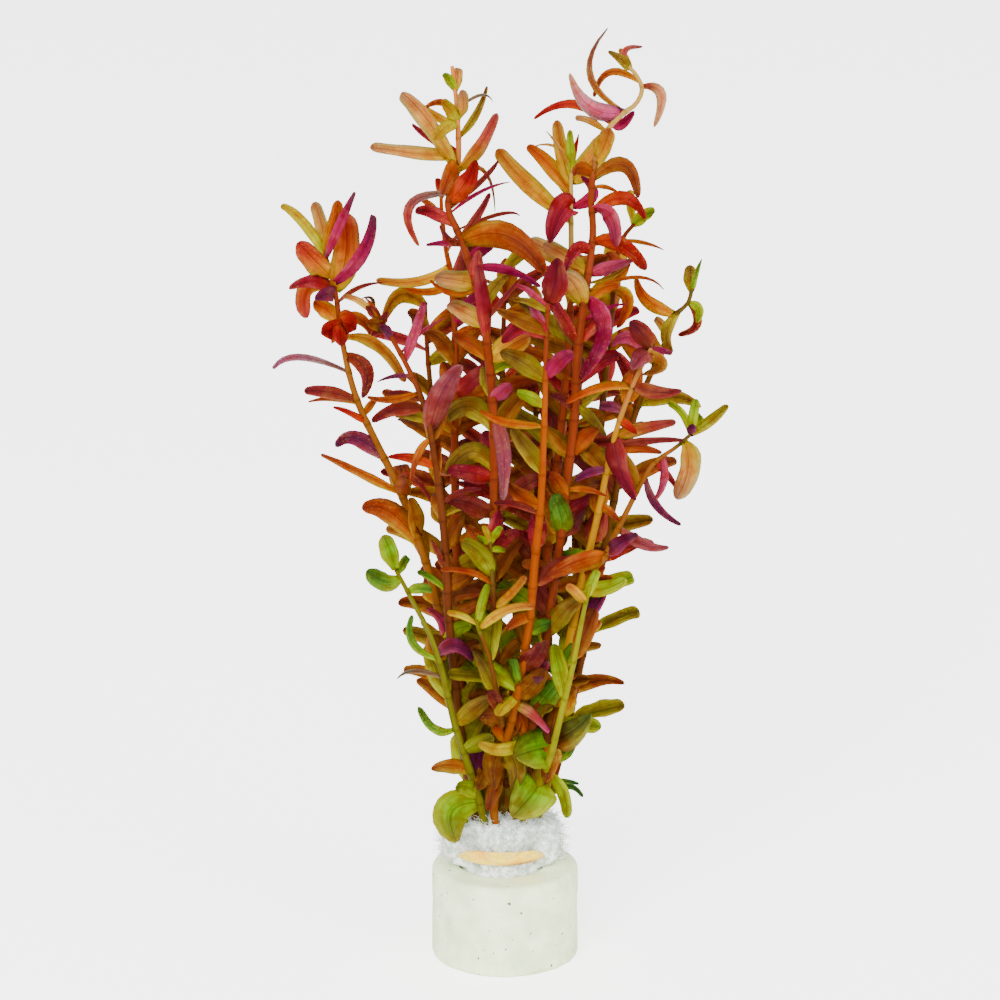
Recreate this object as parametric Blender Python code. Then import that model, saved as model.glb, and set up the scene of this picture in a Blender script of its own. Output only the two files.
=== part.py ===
"""A bunch of cut rotala, its stems wrapped in filter wool and stood in a ceramic ring.

Lengths here are millimetres, and become metres where a mesh is made. Z is up, the ring stands on
z = 0 round the Z axis, and the bunch is seen from the front, along +Y.

Stems and leaves are placed by where they are seen: `seen_at` turns a place in a frame of
1000 x 1000 pixels, and a depth, into a point. A depth is a distance behind the ring's axis, and
is negative in front of it. Widths, sizes and depths are real ones.
"""

import math
import random
from collections import namedtuple

import bmesh
import bpy
from mathutils import Matrix, Vector
from mathutils.bvhtree import BVHTree

MILLIMETRE = 0.001

# The viewpoint that the frame belongs to
EYE = Vector((-1.16, -950.0, 396.0))
EYE_TILT = math.radians(16.75)
FRAME_MIDDLE = 500.0
FOCAL_PIXELS = 4369.0

# The ring and its hole, which the casting left a little off the middle
RING_RADIUS = 17.0
RING_HEIGHT = 22.0
RIM_ROUNDING = 1.5
FOOT_ROUNDING = 0.7
HOLE_RADIUS = 9.9
HOLE_ROUNDING = 0.7
HOLE_CENTRE = Vector((-0.8, 0.6, 0.0))
RING_SIDES = 24
RING_COLOUR = (0.74, 0.77, 0.69)

# The wool, up its outside and down its inside: height, reach to the front, reach to the sides
# and back, and how far round from the front the first gives way to the second
WOOL_OUTSIDE = [
    (2.5, 9.5, 9.5, 50),
    (22.4, 9.5, 9.5, 50),
    (22.5, 9.5, 12.8, 50),
    (24.2, 9.5, 14.0, 50),
    (24.3, 8.55, 14.1, 75),
    (28.0, 8.55, 14.0, 75),
    (28.2, 9.7, 13.8, 50),
    (34.4, 10.4, 13.0, 50),
]
WOOL_INSIDE = [
    (34.0, 9.7, 12.1, 45),
    (28.4, 7.9, 9.3, 50),
    (20.0, 7.6, 7.6, 50),
    (2.5, 7.6, 7.6, 50),
]
WOOL_SIDES = 18
WOOL_BLEND = 0.2
WOOL_LUMP = 0.25
WOOL_LUMPS = 3
WOOL_LUMP_FROM = 23.0
WOOL_COLOUR = (0.80, 0.83, 0.80)

# The slip: a bent strip across the front of the mouth
SLIP_HALF_LENGTH = 10.3
SLIP_SAGITTA = 4.4
SLIP_FRONT = -9.1
SLIP_THICKNESS = 0.8
SLIP_LOW = 24.6
SLIP_HEIGHT = 3.0
SLIP_END_RISE = 0.5
SLIP_END_SHARE = 0.25
SLIP_STATIONS = 7
SLIP_COLOUR = (0.86, 0.62, 0.34)

# Stems stand in the wool in a close hexagonal pattern, a pitch apart
STEM_PITCH = 3.1
STEM_FOOT = 2.0
STEM_RADIUS = 1.0
TIP_RADIUS = 0.5
TIP_TAPER = 14.0
STEM_SIDES = 5
MOUTH_HEIGHT = 26.0
WHORL_HEIGHT = 1.2
WHORL_SPACING = 1.9
WHORL_MERGE = 4.5
LEAST_LOOK = 0.3
BEND_TOLERANCE = 0.35
BEND_SAMPLES = 12

LEAF_THICKNESS = 0.5
ROOT_WIDTH = 1.4
CLEARANCE = 0.3
TEST_LOOPS = 60
TEST_SIDES = 6
TEST_MARGIN = 0.05

Stem = namedtuple("Stem", "slot colour route")
Leaf = namedtuple("Leaf", "base bend tip width lean")
Fill = namedtuple("Fill", "lowest highest step count length width")

# Each stem: its column and row in the wool, or None for a side shoot, its colour, and its route
# from the tip down as (across, down, depth)
STEMS = {
    "stem_tall_left": Stem((-1, 0), (0.72, 0.24, 0.05), [
        (452, 66, -6), (457, 110, -7), (458, 165, -8), (448, 205, -9), (457, 230, -10),
        (471, 268, -12), (482, 310, -14), (490, 370, -14), (494, 440, -12), (493, 540, -9),
        (489, 640, -6), (486, 720, -3), (484, 805, -1),
    ]),
    "stem_thin_left": Stem((-2, 1), (0.66, 0.27, 0.07), [
        (441, 195, 6), (442, 215, 6), (446, 250, 6), (453, 285, 7), (455, 340, 7),
        (455, 400, 7), (455, 480, 7), (457, 560, 7), (460, 640, 6), (465, 720, 5),
        (473, 804, 3),
    ]),
    "stem_peach": Stem((1, 0), (0.76, 0.38, 0.14), [
        (571, 168, 3), (571, 215, 3), (571, 260, 4), (569, 330, 5), (562, 420, 5),
        (551, 520, 5), (541, 620, 4), (531, 720, 2), (524, 806, 0),
    ]),
    "stem_tall_right": Stem((0, -1), (0.62, 0.22, 0.05), [
        (628, 66, 4), (637, 76, 5), (642, 90, 6), (636, 104, 5), (625, 112, 4),
        (612, 124, 3), (604, 136, 2), (598, 150, 1), (593, 175, 0), (591, 200, 0),
        (593, 230, 0), (590, 262, -2), (583, 310, -5), (578, 350, -7), (574, 420, -9),
        (566, 490, -10), (559, 550, -10), (549, 620, -9), (538, 700, -7), (525, 760, -5),
        (517, 806, -3.5),
    ]),
    "stem_centre": Stem((0, -2), (0.80, 0.25, 0.03), [
        (548, 303, -26), (546, 350, -25), (545, 400, -23), (541, 500, -19), (535, 560, -17),
        (529, 625, -14), (518, 690, -11), (505, 750, -8), (494, 808, -6),
    ]),
    "stem_left": Stem((-2, 0), (0.68, 0.40, 0.06), [
        (325, 254, -4), (334, 283, -4), (344, 350, -5), (357, 400, -6), (380, 450, -6),
        (400, 490, -6), (420, 545, -6), (433, 585, -5), (445, 640, -4), (455, 700, -3),
        (463, 750, -2), (471, 803, 0),
    ]),
    "stem_brown": Stem((-2, -1), (0.22, 0.08, 0.03), [
        (373, 313, -20), (385, 328, -20), (405, 362, -19), (424, 405, -18), (434, 455, -17),
        (441, 505, -16), (446, 560, -14), (449, 620, -12), (455, 680, -9), (462, 740, -6),
        (473, 805, -3.5),
    ]),
    "stem_yellow": Stem((2, 0), (0.60, 0.50, 0.10), [
        (651, 348, -14), (640, 370, -14), (633, 385, -14), (618, 425, -13), (608, 465, -12),
        (600, 505, -11), (592, 540, -10), (582, 580, -9), (573, 625, -8), (563, 670, -7),
        (557, 700, -6), (553, 740, -5), (548, 780, -4), (541, 808, -2),
    ]),
    "stem_right": Stem(None, (0.70, 0.30, 0.08), [
        (690, 435, -4), (675, 448, -5), (655, 462, -6), (643, 480, -7), (630, 505, -8),
        (615, 535, -10), (606, 555, -11), (593, 571, -10.5),
    ]),
    "stem_green_right": Stem((1, 1), (0.36, 0.42, 0.10), [
        (692, 288, 12), (688, 303, 12), (676, 315, 12), (668, 335, 12), (655, 365, 12),
        (640, 400, 12), (625, 450, 11), (612, 510, 10), (598, 580, 9), (583, 650, 7),
        (568, 720, 5), (553, 780, 4), (543, 808, 3.5),
    ]),
    "stem_back_right": Stem((1, 2), (0.50, 0.42, 0.10), [
        (636, 222, 16), (622, 240, 17), (615, 270, 18), (611, 320, 18), (605, 380, 18),
        (598, 450, 17), (588, 530, 15), (575, 620, 12), (560, 700, 10), (546, 770, 8),
        (536, 806, 6.5),
    ]),
    "stem_back_left": Stem((-1, 2), (0.52, 0.28, 0.08), [
        (425, 302, 16), (428, 360, 17), (436, 440, 17), (446, 530, 16), (458, 640, 13),
        (469, 730, 10), (484, 806, 6),
    ]),
    "stem_back_mid_left": Stem((-1, 1), (0.46, 0.22, 0.06), [
        (505, 270, 14), (503, 350, 14), (500, 450, 13), (498, 560, 11), (497, 680, 7),
        (497, 805, 3),
    ]),
    "stem_back_mid_right": Stem((0, 1), (0.50, 0.24, 0.06), [
        (583, 300, 24), (580, 380, 23), (570, 470, 20), (555, 570, 16), (540, 680, 10),
        (521, 806, 3.5),
    ]),
    "stem_back_centre": Stem((0, 2), (0.42, 0.26, 0.07), [
        (540, 310, 31), (537, 400, 30), (528, 500, 24), (520, 600, 18), (513, 700, 12),
        (507, 806, 6),
    ]),
    "stem_green_left": Stem((-1, -2), (0.42, 0.38, 0.08), [
        (396, 570, -24), (412, 600, -23), (430, 635, -20), (443, 675, -17), (455, 725, -13),
        (468, 765, -9.5), (481, 806, -5.8),
    ]),
    "shoot_mid": Stem((0, 0), (0.44, 0.42, 0.08), [
        (490, 540, -15), (492, 575, -14), (496, 640, -10), (501, 720, -5), (507, 806, -1),
    ]),
    "shoot_low": Stem(None, (0.46, 0.44, 0.10), [
        (476, 620, -20), (479, 630, -20), (485, 645, -18), (490, 660, -17), (496, 690, -14),
        (502, 726, -11.4),
    ]),
    "shoot_right": Stem((1, -2), (0.34, 0.16, 0.04), [
        (590, 585, -22), (583, 615, -21), (573, 665, -18), (562, 710, -15), (549, 760, -9.5),
        (530, 806, -4.3),
    ]),
}

# Whorls that the front leaves hide: heights of the lowest and the highest, the step between
# them, leaves in each, and a leaf's length and width
FILLS = {
    "stem_back_left": Fill(60, 150, 16, 2, 17, 5.0),
    "stem_back_mid_left": Fill(55, 160, 16, 2, 17, 5.2),
    "stem_back_mid_right": Fill(60, 152, 16, 2, 18, 5.2),
    "stem_back_centre": Fill(55, 150, 15, 2, 18, 5.2),
    "stem_back_right": Fill(62, 150, 18, 2, 16, 4.2),
    "stem_thin_left": Fill(58, 120, 17, 2, 16, 4.4),
    "stem_peach": Fill(52, 150, 17, 2, 17, 4.8),
    "stem_green_right": Fill(58, 130, 18, 2, 15, 4.0),
    "shoot_mid": Fill(52, 90, 16, 2, 14, 4.4),
}

# The leaves that show from the front, by stem: where each leaves the stem, bends and ends in the
# frame, its width, and how far its tip lies behind its base
LEAVES = {
    "stem_tall_left": [
        Leaf((458, 168), None, (402, 92), 3.1, -5),
        Leaf((458, 156), (418, 154), (370, 147), 2.1, -3),
        Leaf((458, 151), (430, 138), (412, 124), 1.4, 4),
        Leaf((458, 128), (434, 115), (416, 103), 1.2, 5),
        Leaf((457, 112), (440, 102), (424, 109), 1.2, -4),
        Leaf((458, 124), None, (441, 102), 1.8, -3),
        Leaf((457, 110), (463, 103), (461, 90), 1.8, -2),
        Leaf((457, 107), (480, 95), (493, 102), 1.0, 4),
        Leaf((459, 137), (478, 110), (487, 86), 1.2, 5),
        Leaf((457, 168), (482, 137), (497, 113), 2.1, -5),
        Leaf((456, 161), None, (442, 195), 2.8, -6),
        Leaf((447, 202), (464, 184), (475, 160), 3.6, -6),
        Leaf((455, 172), (485, 172), (495, 212), 0.9, 5),
        Leaf((448, 210), (482, 180), (498, 161), 0.9, 3),
        Leaf((449, 212), (480, 192), (510, 182), 0.9, 7),
        Leaf((458, 232), (478, 215), (490, 193), 1.2, -4),
        Leaf((453, 88), None, (444, 73), 1.0, -2),
        Leaf((453, 86), None, (459, 68), 1.0, 2),
        Leaf((447, 194), (410, 206), (419, 246), 2.3, -3),
        Leaf((453, 226), (435, 213), (415, 211), 1.8, 3),
        Leaf((460, 243), (450, 240), (440, 225), 1.6, -5),
        Leaf((463, 247), (443, 243), (426, 245), 1.3, -3),
        Leaf((466, 258), (480, 252), (493, 247), 2.3, 6),
        Leaf((464, 242), (507, 234), (545, 273), 4.0, -7),
        Leaf((458, 230), (500, 214), (520, 216), 0.9, 5),
        Leaf((471, 268), (508, 270), (540, 287), 1.8, 5),
        Leaf((475, 290), (452, 293), (430, 280), 1.6, 5),
        Leaf((487, 343), (483, 302), (478, 265), 2.9, -5),
        Leaf((482, 310), (492, 290), (508, 275), 2.7, 4),
        Leaf((485, 320), (500, 303), (520, 278), 1.3, -4),
        Leaf((493, 402), None, (512, 385), 3.0, -4),
        Leaf((495, 415), (504, 450), (503, 500), 2.9, -6),
        Leaf((490, 374), None, (510, 364), 1.6, 5),
        Leaf((495, 428), (470, 407), (444, 421), 4.4, 5),
        Leaf((495, 470), (472, 452), (446, 474), 4.2, 4),
    ],
    "stem_thin_left": [
        Leaf((449, 264), (420, 281), (376, 280), 2.0, -4),
        Leaf((453, 284), (425, 292), (399, 285), 1.6, 5),
        Leaf((455, 342), None, (485, 325), 2.7, -4),
        Leaf((455, 366), None, (481, 373), 2.7, 5),
        Leaf((444, 222), (432, 207), (420, 199), 1.8, 4),
        Leaf((455, 476), (476, 452), (494, 476), 3.6, -4),
        Leaf((441, 198), None, (437, 178), 1.6, 2),
        Leaf((441, 198), None, (448, 180), 1.6, -3),
    ],
    "stem_peach": [
        Leaf((571, 224), (528, 186), (497, 149), 3.7, -4),
        Leaf((571, 192), (548, 164), (527, 146), 3.1, 4),
        Leaf((571, 182), None, (557, 120), 1.9, 2),
        Leaf((572, 172), None, (569, 130), 1.4, -2),
        Leaf((572, 172), None, (579, 134), 1.1, 3),
        Leaf((571, 182), (588, 165), (610, 133), 4.0, 5),
        Leaf((571, 196), None, (545, 165), 1.8, 7),
        Leaf((571, 207), (593, 194), (581, 176), 2.4, -4),
        Leaf((571, 205), (562, 215), (550, 243), 4.7, -6),
        Leaf((571, 185), (560, 150), (532, 147), 0.9, 6),
        Leaf((571, 178), (562, 152), (546, 131), 1.0, -4),
        Leaf((571, 300), None, (586, 268), 2.3, -4),
        Leaf((569, 310), (558, 320), (577, 347), 2.1, -5),
    ],
    "stem_tall_right": [
        Leaf((629, 69), (622, 56), (608, 51), 1.4, -3),
        Leaf((629, 67), (625, 50), (643, 47), 0.9, 3),
        Leaf((640, 82), (610, 72), (594, 97), 0.9, 5),
        Leaf((624, 113), (588, 74), (608, 28), 1.3, 3),
        Leaf((642, 86), (662, 92), (654, 127), 2.1, -2),
        Leaf((611, 125), (591, 104), (570, 73), 2.9, -5),
        Leaf((612, 124), (622, 124), (634, 111), 2.2, 4),
        Leaf((611, 125), (572, 104), (534, 119), 1.4, 5),
        Leaf((606, 133), (590, 119), (575, 118), 1.3, -5),
        Leaf((594, 178), (622, 165), (638, 198), 2.3, -5),
        Leaf((592, 210), (624, 198), (645, 219), 2.3, 5),
        Leaf((593, 187), None, (620, 194), 1.1, 7),
        Leaf((593, 206), (611, 215), (616, 247), 3.4, -6),
        Leaf((592, 241), (620, 244), (646, 270), 3.2, -4),
        Leaf((590, 250), (577, 250), (566, 271), 2.9, -5),
        Leaf((588, 285), (610, 277), (628, 266), 1.0, 5),
        Leaf((586, 292), (635, 277), (664, 290), 0.9, -6),
        Leaf((585, 299), (605, 330), (580, 379), 3.2, -7),
        Leaf((582, 322), None, (627, 304), 1.0, 6),
        Leaf((575, 412), None, (550, 395), 2.1, -5),
        Leaf((575, 407), None, (606, 436), 2.4, 4),
        Leaf((567, 491), None, (606, 496), 1.4, -5),
        Leaf((562, 533), (561, 517), (552, 495), 4.2, -5),
        Leaf((549, 635), (563, 612), (580, 600), 4.0, -5),
        Leaf((545, 656), None, (537, 684), 2.8, -5),
        Leaf((540, 697), None, (560, 684), 2.4, -4),
        Leaf((536, 708), None, (513, 703), 1.8, -3),
        Leaf((530, 740), (503, 749), (480, 742), 1.8, -6),
    ],
    "stem_centre": [
        Leaf((549, 304), (555, 282), (557, 258), 4.9, -2),
        Leaf((546, 337), (525, 325), (502, 343), 3.4, -4),
        Leaf((545, 380), (560, 360), (574, 354), 2.9, -3),
        Leaf((547, 306), None, (516, 285), 1.3, 3),
        Leaf((547, 312), None, (513, 300), 1.5, 5),
        Leaf((546, 337), None, (530, 303), 2.2, 4),
        Leaf((546, 332), (520, 320), (497, 310), 2.9, -4),
        Leaf((545, 379), (522, 362), (500, 352), 4.0, 5),
        Leaf((543, 472), (526, 450), (512, 428), 3.8, 5),
        Leaf((541, 507), (525, 500), (508, 484), 3.4, 6),
        Leaf((544, 425), (505, 422), (480, 410), 1.8, -4),
        Leaf((544, 408), None, (517, 393), 1.5, 4),
        Leaf((540, 513), None, (494, 503), 1.3, -4),
        Leaf((529, 632), None, (551, 623), 2.7, 4),
        Leaf((518, 692), (495, 672), (474, 657), 3.2, -4),
        Leaf((519, 690), None, (512, 659), 1.9, -5),
        Leaf((521, 686), (531, 668), (533, 647), 2.4, 3),
        Leaf((516, 699), None, (497, 716), 2.6, -4),
        Leaf((507, 740), None, (492, 722), 2.4, -4),
        Leaf((512, 720), (529, 716), (549, 733), 1.8, -5),
    ],
    "stem_left": [
        Leaf((326, 256), (303, 222), (281, 205), 1.3, -3),
        Leaf((326, 254), (322, 228), (314, 202), 2.0, 2),
        Leaf((327, 254), (334, 228), (338, 200), 2.7, -2),
        Leaf((328, 262), (343, 218), (355, 192), 1.8, 4),
        Leaf((332, 280), (346, 245), (345, 213), 4.0, -4),
        Leaf((334, 288), (364, 252), (373, 215), 2.5, 5),
        Leaf((331, 277), (317, 255), (298, 242), 3.4, -4),
        Leaf((335, 292), (312, 280), (289, 289), 2.7, -4),
        Leaf((335, 295), (318, 300), (306, 318), 3.0, 3),
        Leaf((337, 308), None, (315, 300), 1.8, -4),
        Leaf((339, 320), None, (313, 303), 1.6, 4),
        Leaf((342, 340), None, (321, 334), 3.4, -3),
        Leaf((337, 303), (360, 287), (385, 283), 1.0, 5),
        Leaf((340, 318), (360, 319), (372, 337), 1.4, 5),
        Leaf((342, 336), (377, 340), (405, 382), 2.2, 4),
        Leaf((346, 372), (300, 357), (273, 369), 1.2, -2),
        Leaf((345, 355), (368, 377), (362, 398), 2.7, -4),
        Leaf((354, 402), (328, 386), (304, 391), 2.5, -3),
        Leaf((356, 406), None, (308, 402), 1.2, 4),
        Leaf((364, 427), (350, 413), (333, 407), 1.3, -5),
        Leaf((382, 457), (355, 438), (336, 447), 3.1, -4),
        Leaf((396, 497), (356, 470), (321, 454), 1.8, -5),
        Leaf((419, 544), (390, 512), (362, 509), 4.8, -5),
        Leaf((361, 418), None, (378, 398), 1.5, 5),
        Leaf((415, 540), None, (409, 498), 2.7, -5),
        Leaf((394, 483), (414, 478), (436, 512), 1.2, -4),
        Leaf((445, 641), (442, 622), (427, 608), 2.0, -4),
        Leaf((460, 722), None, (483, 693), 1.8, 5),
        Leaf((468, 778), None, (457, 733), 2.7, -5),
    ],
    "stem_brown": [
        Leaf((404, 360), (416, 330), (424, 302), 2.0, -3),
        Leaf((400, 352), None, (445, 318), 0.9, 4),
        Leaf((380, 322), None, (365, 298), 1.1, -3),
        Leaf((374, 315), (360, 302), (343, 297), 1.3, 3),
        Leaf((419, 393), (390, 400), (367, 397), 1.6, -3),
        Leaf((421, 400), None, (388, 393), 1.6, 4),
        Leaf((425, 410), (395, 410), (372, 422), 2.8, -5),
        Leaf((429, 423), None, (395, 416), 2.0, 5),
        Leaf((436, 468), (412, 458), (388, 457), 2.3, -4),
        Leaf((432, 440), (418, 455), (411, 482), 1.8, -5),
        Leaf((412, 378), None, (377, 382), 1.0, 4),
        Leaf((431, 430), (442, 392), (462, 365), 5.0, -5),
        Leaf((441, 504), (460, 492), (482, 489), 1.4, -4),
        Leaf((442, 518), None, (476, 504), 1.8, 4),
        Leaf((447, 590), None, (417, 572), 1.2, -4),
        Leaf((446, 575), None, (431, 540), 1.4, -4),
        Leaf((468, 790), None, (480, 742), 2.2, -3),
    ],
    "stem_yellow": [
        Leaf((651, 349), None, (629, 322), 2.9, -4),
        Leaf((648, 354), None, (632, 370), 3.0, -4),
        Leaf((650, 350), None, (672, 354), 1.4, 4),
        Leaf((649, 352), (664, 365), (642, 375), 1.6, -3),
        Leaf((647, 356), (630, 336), (611, 346), 1.8, 4),
        Leaf((632, 387), (600, 388), (566, 403), 2.1, -4),
        Leaf((634, 384), (656, 392), (682, 390), 2.9, -3),
        Leaf((613, 440), (645, 425), (676, 422), 2.7, 4),
        Leaf((612, 446), (650, 441), (683, 440), 1.0, 6),
        Leaf((613, 446), (622, 468), (636, 500), 4.0, -5),
        Leaf((610, 455), (637, 450), (662, 453), 2.0, 3),
        Leaf((619, 423), None, (637, 434), 1.8, -3),
        Leaf((622, 414), None, (599, 406), 2.2, 4),
        Leaf((607, 468), None, (575, 481), 1.8, -4),
        Leaf((600, 505), None, (619, 521), 1.8, -3),
        Leaf((589, 554), None, (560, 556), 1.8, 4),
        Leaf((582, 588), (605, 588), (626, 578), 2.9, -4),
        Leaf((574, 622), (590, 612), (605, 591), 3.1, 4),
        Leaf((569, 645), (585, 636), (601, 621), 1.8, -3),
        Leaf((564, 668), None, (577, 645), 2.3, -4),
        Leaf((561, 689), None, (577, 675), 1.6, 3),
        Leaf((551, 758), (535, 749), (514, 757), 7.6, -8),
        Leaf((555, 742), (573, 731), (591, 714), 5.4, -4),
        Leaf((551, 763), None, (576, 745), 2.7, 5),
        Leaf((548, 776), None, (567, 818), 2.7, -5),
        Leaf((546, 785), (566, 790), (583, 797), 0.9, 3),
        Leaf((557, 712), None, (577, 688), 4.4, -5),
    ],
    "stem_right": [
        Leaf((606, 557), (578, 561), (547, 577), 4.2, -6),
        Leaf((689, 435), (684, 415), (668, 403), 1.4, 3),
        Leaf((689, 434), None, (697, 399), 1.8, -2),
        Leaf((690, 436), None, (701, 415), 2.0, 5),
        Leaf((690, 434), (715, 418), (728, 405), 2.0, 3),
        Leaf((684, 443), (691, 468), (676, 499), 4.0, -4),
        Leaf((646, 478), (656, 505), (681, 525), 1.8, 3),
        Leaf((664, 456), (664, 480), (655, 500), 1.8, -5),
        Leaf((655, 462), (668, 475), (680, 493), 1.5, 5),
        Leaf((607, 558), (620, 543), (638, 534), 2.9, -4),
        Leaf((619, 527), (645, 545), (669, 547), 2.3, -3),
    ],
    "stem_green_right": [
        Leaf((675, 316), (648, 300), (637, 277), 2.9, -3),
        Leaf((672, 325), (666, 338), (673, 352), 2.0, -4),
        Leaf((691, 292), None, (690, 265), 2.4, 2),
        Leaf((691, 291), None, (702, 259), 1.1, -3),
        Leaf((688, 305), (699, 309), (697, 323), 1.8, -3),
        Leaf((680, 312), (690, 325), (678, 335), 1.6, 4),
        Leaf((669, 333), None, (655, 318), 1.8, 4),
    ],
    "stem_back_right": [
        Leaf((634, 225), None, (655, 212), 2.4, -3),
        Leaf((633, 225), None, (629, 190), 2.0, 3),
        Leaf((624, 239), (645, 243), (664, 250), 0.9, -4),
        Leaf((614, 286), None, (631, 263), 2.7, -5),
        Leaf((614, 290), (627, 302), (617, 328), 2.7, -6),
        Leaf((608, 372), None, (604, 342), 1.4, -5),
    ],
    "stem_back_left": [
        Leaf((424, 308), (400, 295), (383, 322), 3.5, -5),
    ],
    "stem_green_left": [
        Leaf((396, 571), None, (383, 535), 3.6, -2),
        Leaf((399, 578), (385, 582), (367, 570), 3.4, -4),
        Leaf((398, 572), None, (408, 557), 1.6, 3),
        Leaf((409, 594), None, (432, 590), 2.2, 4),
        Leaf((438, 660), (412, 642), (412, 615), 1.6, -4),
        Leaf((436, 655), (455, 646), (473, 661), 3.0, 4),
        Leaf((443, 678), (415, 671), (397, 679), 1.1, -4),
        Leaf((446, 692), None, (428, 643), 2.0, 3),
        Leaf((456, 730), (435, 730), (418, 707), 1.8, -3),
        Leaf((468, 774), (450, 765), (431, 769), 3.0, -3),
        Leaf((475, 797), None, (455, 788), 2.0, 3),
        Leaf((477, 800), (452, 808), (457, 842), 5.6, -6),
    ],
    "shoot_mid": [
        Leaf((490, 543), None, (477, 537), 1.4, -2),
        Leaf((490, 542), None, (483, 526), 1.3, 3),
        Leaf((490, 542), None, (501, 526), 1.6, -3),
        Leaf((491, 552), None, (505, 551), 1.3, 3),
        Leaf((492, 575), (478, 552), (461, 542), 4.0, -4),
        Leaf((495, 606), (508, 597), (526, 576), 1.6, -4),
        Leaf((493, 586), (470, 572), (440, 570), 1.4, -5),
    ],
    "shoot_low": [
        Leaf((476, 624), None, (447, 613), 1.4, -2),
        Leaf((477, 624), None, (488, 584), 1.7, 2),
        Leaf((478, 628), (505, 611), (534, 607), 1.8, -3),
        Leaf((494, 712), None, (488, 690), 1.8, -4),
    ],
    "shoot_right": [
        Leaf((547, 790), (531, 797), (512, 817), 7.4, -5),
        Leaf((585, 598), None, (598, 570), 2.0, 3),
        Leaf((584, 600), None, (566, 585), 2.0, -3),
    ],
}

# Depths added to a front leaf's tip, and turns of a hidden leaf round its stem: the first that
# keeps the leaf clear of all that is already there is taken
LEAN_CHANGES = (0, -2, 2, -4, 4, -6, 6, -9, 9, -12, 12, -15, 15)
FILL_TURNS = (0, 20, -20, 40, -40, 60, -60, 80, -80)
FILL_SHORTENINGS = (1.0, 0.8)
FILL_GAP = 6.0
FILL_SPREAD = math.radians(32)
FILL_RISE = math.radians(58)
FILL_VARIATION = 0.15
FILL_DROOP = 0.16
FILL_FACE = Vector((0.0, -1.0, 0.5))
FRONT_ARCH = 0.08
FRONT_ROLL = math.radians(26)
HIDDEN_WIDEST = 45.0
HIDDEN_FRONT = -20.0
HIDDEN_BACK = 35.0

# Where along a leaf its sections are, and their share of its width
NARROW_LEAF_SECTIONS = [(0.45, 1.0)]
LEAF_SECTIONS = [(0.30, 0.92), (0.70, 0.80)]
BENT_LEAF_SECTIONS = [(0.22, 0.80), (0.50, 1.0), (0.78, 0.68)]
NARROW_WIDTH = 1.3
STRONG_BEND = math.radians(60)


def seen_at(across, down, depth):
    """The point seen at a place of the frame, a depth behind the ring's axis."""
    up = (FRAME_MIDDLE - down) / FOCAL_PIXELS
    ray = Vector((
        (across - FRAME_MIDDLE) / FOCAL_PIXELS,
        math.cos(EYE_TILT) + up * math.sin(EYE_TILT),
        up * math.cos(EYE_TILT) - math.sin(EYE_TILT),
    ))
    return EYE + ray * ((depth - EYE.y) / ray.y)


def place_of(point):
    """Where in the frame a point is seen, across and down."""
    sight = point - EYE
    away = sight.y * math.cos(EYE_TILT) - sight.z * math.sin(EYE_TILT)
    up = sight.y * math.sin(EYE_TILT) + sight.z * math.cos(EYE_TILT)
    scale = FOCAL_PIXELS / away
    return Vector((FRAME_MIDDLE + sight.x * scale, FRAME_MIDDLE - up * scale))


def across_of(vector, direction):
    """The part of a vector that is square to a direction, at unit length."""
    return (vector - direction * vector.dot(direction)).normalized()


def smooth_through(knots, step=1.0):
    """Points about a step apart on a Catmull-Rom curve through the knots."""
    ends = [knots[0] * 2 - knots[1], *knots, knots[-1] * 2 - knots[-2]]
    points = []
    for before, start, end, after in zip(ends, ends[1:], ends[2:], ends[3:]):
        count = max(1, round((end - start).length / step))
        for index in range(count):
            t = index / count
            points.append(0.5 * (
                2 * start
                + (end - before) * t
                + (2 * before - 5 * start + 4 * end - after) * t**2
                + (3 * start - before - 3 * end + after) * t**3
            ))
    points.append(knots[-1])
    return points


class Route:
    """A stem's centre line from foot to tip, by distance along it."""

    def __init__(self, stem):
        knots = [seen_at(*spot) for spot in reversed(stem.route)]
        if stem.slot:
            column, row = stem.slot
            slot = HOLE_CENTRE + Vector((column + row % 2 / 2, row * math.sqrt(3) / 2, 0)) * STEM_PITCH
            knots = [slot + Vector((0, 0, STEM_FOOT)), slot + Vector((0, 0, MOUTH_HEIGHT)), *knots]
        self.points = smooth_through(knots)
        self.reach = [0.0]
        for start, end in zip(self.points, self.points[1:]):
            self.reach.append(self.reach[-1] + (end - start).length)
        self.length = self.reach[-1]
        self.sides = [across_of(Vector((1, 0, 0)), self.direction(0))]
        for distance in self.reach[1:]:
            self.sides.append(across_of(self.sides[-1], self.direction(distance)))

    def index(self, distance):
        found = 0
        while found < len(self.reach) - 2 and self.reach[found + 1] < distance:
            found += 1
        return found

    def point(self, distance):
        found = self.index(distance)
        span = self.reach[found + 1] - self.reach[found]
        share = min(1.0, max(0.0, (distance - self.reach[found]) / span))
        return self.points[found].lerp(self.points[found + 1], share)

    def direction(self, distance):
        ahead = self.point(min(distance + 1, self.length))
        return (ahead - self.point(max(distance - 1, 0))).normalized()

    def outward(self, distance, turn):
        """The direction out of the stem at a turn round it."""
        direction = self.direction(distance)
        side = across_of(self.sides[self.index(distance)], direction)
        return side * math.cos(turn) + direction.cross(side) * math.sin(turn)

    def radius(self, distance):
        share = min(1.0, (self.length - distance) / TIP_TAPER)
        return TIP_RADIUS + (STEM_RADIUS - TIP_RADIUS) * share

    def nearest(self, place):
        """The distance along the stem that is seen nearest to a place of the frame."""
        gaps = [(place_of(point) - place).length for point in self.points]
        return self.reach[gaps.index(min(gaps))]

    def at_height(self, height):
        for distance, point in zip(self.reach, self.points):
            if point.z >= height:
                return distance
        return self.length


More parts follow.
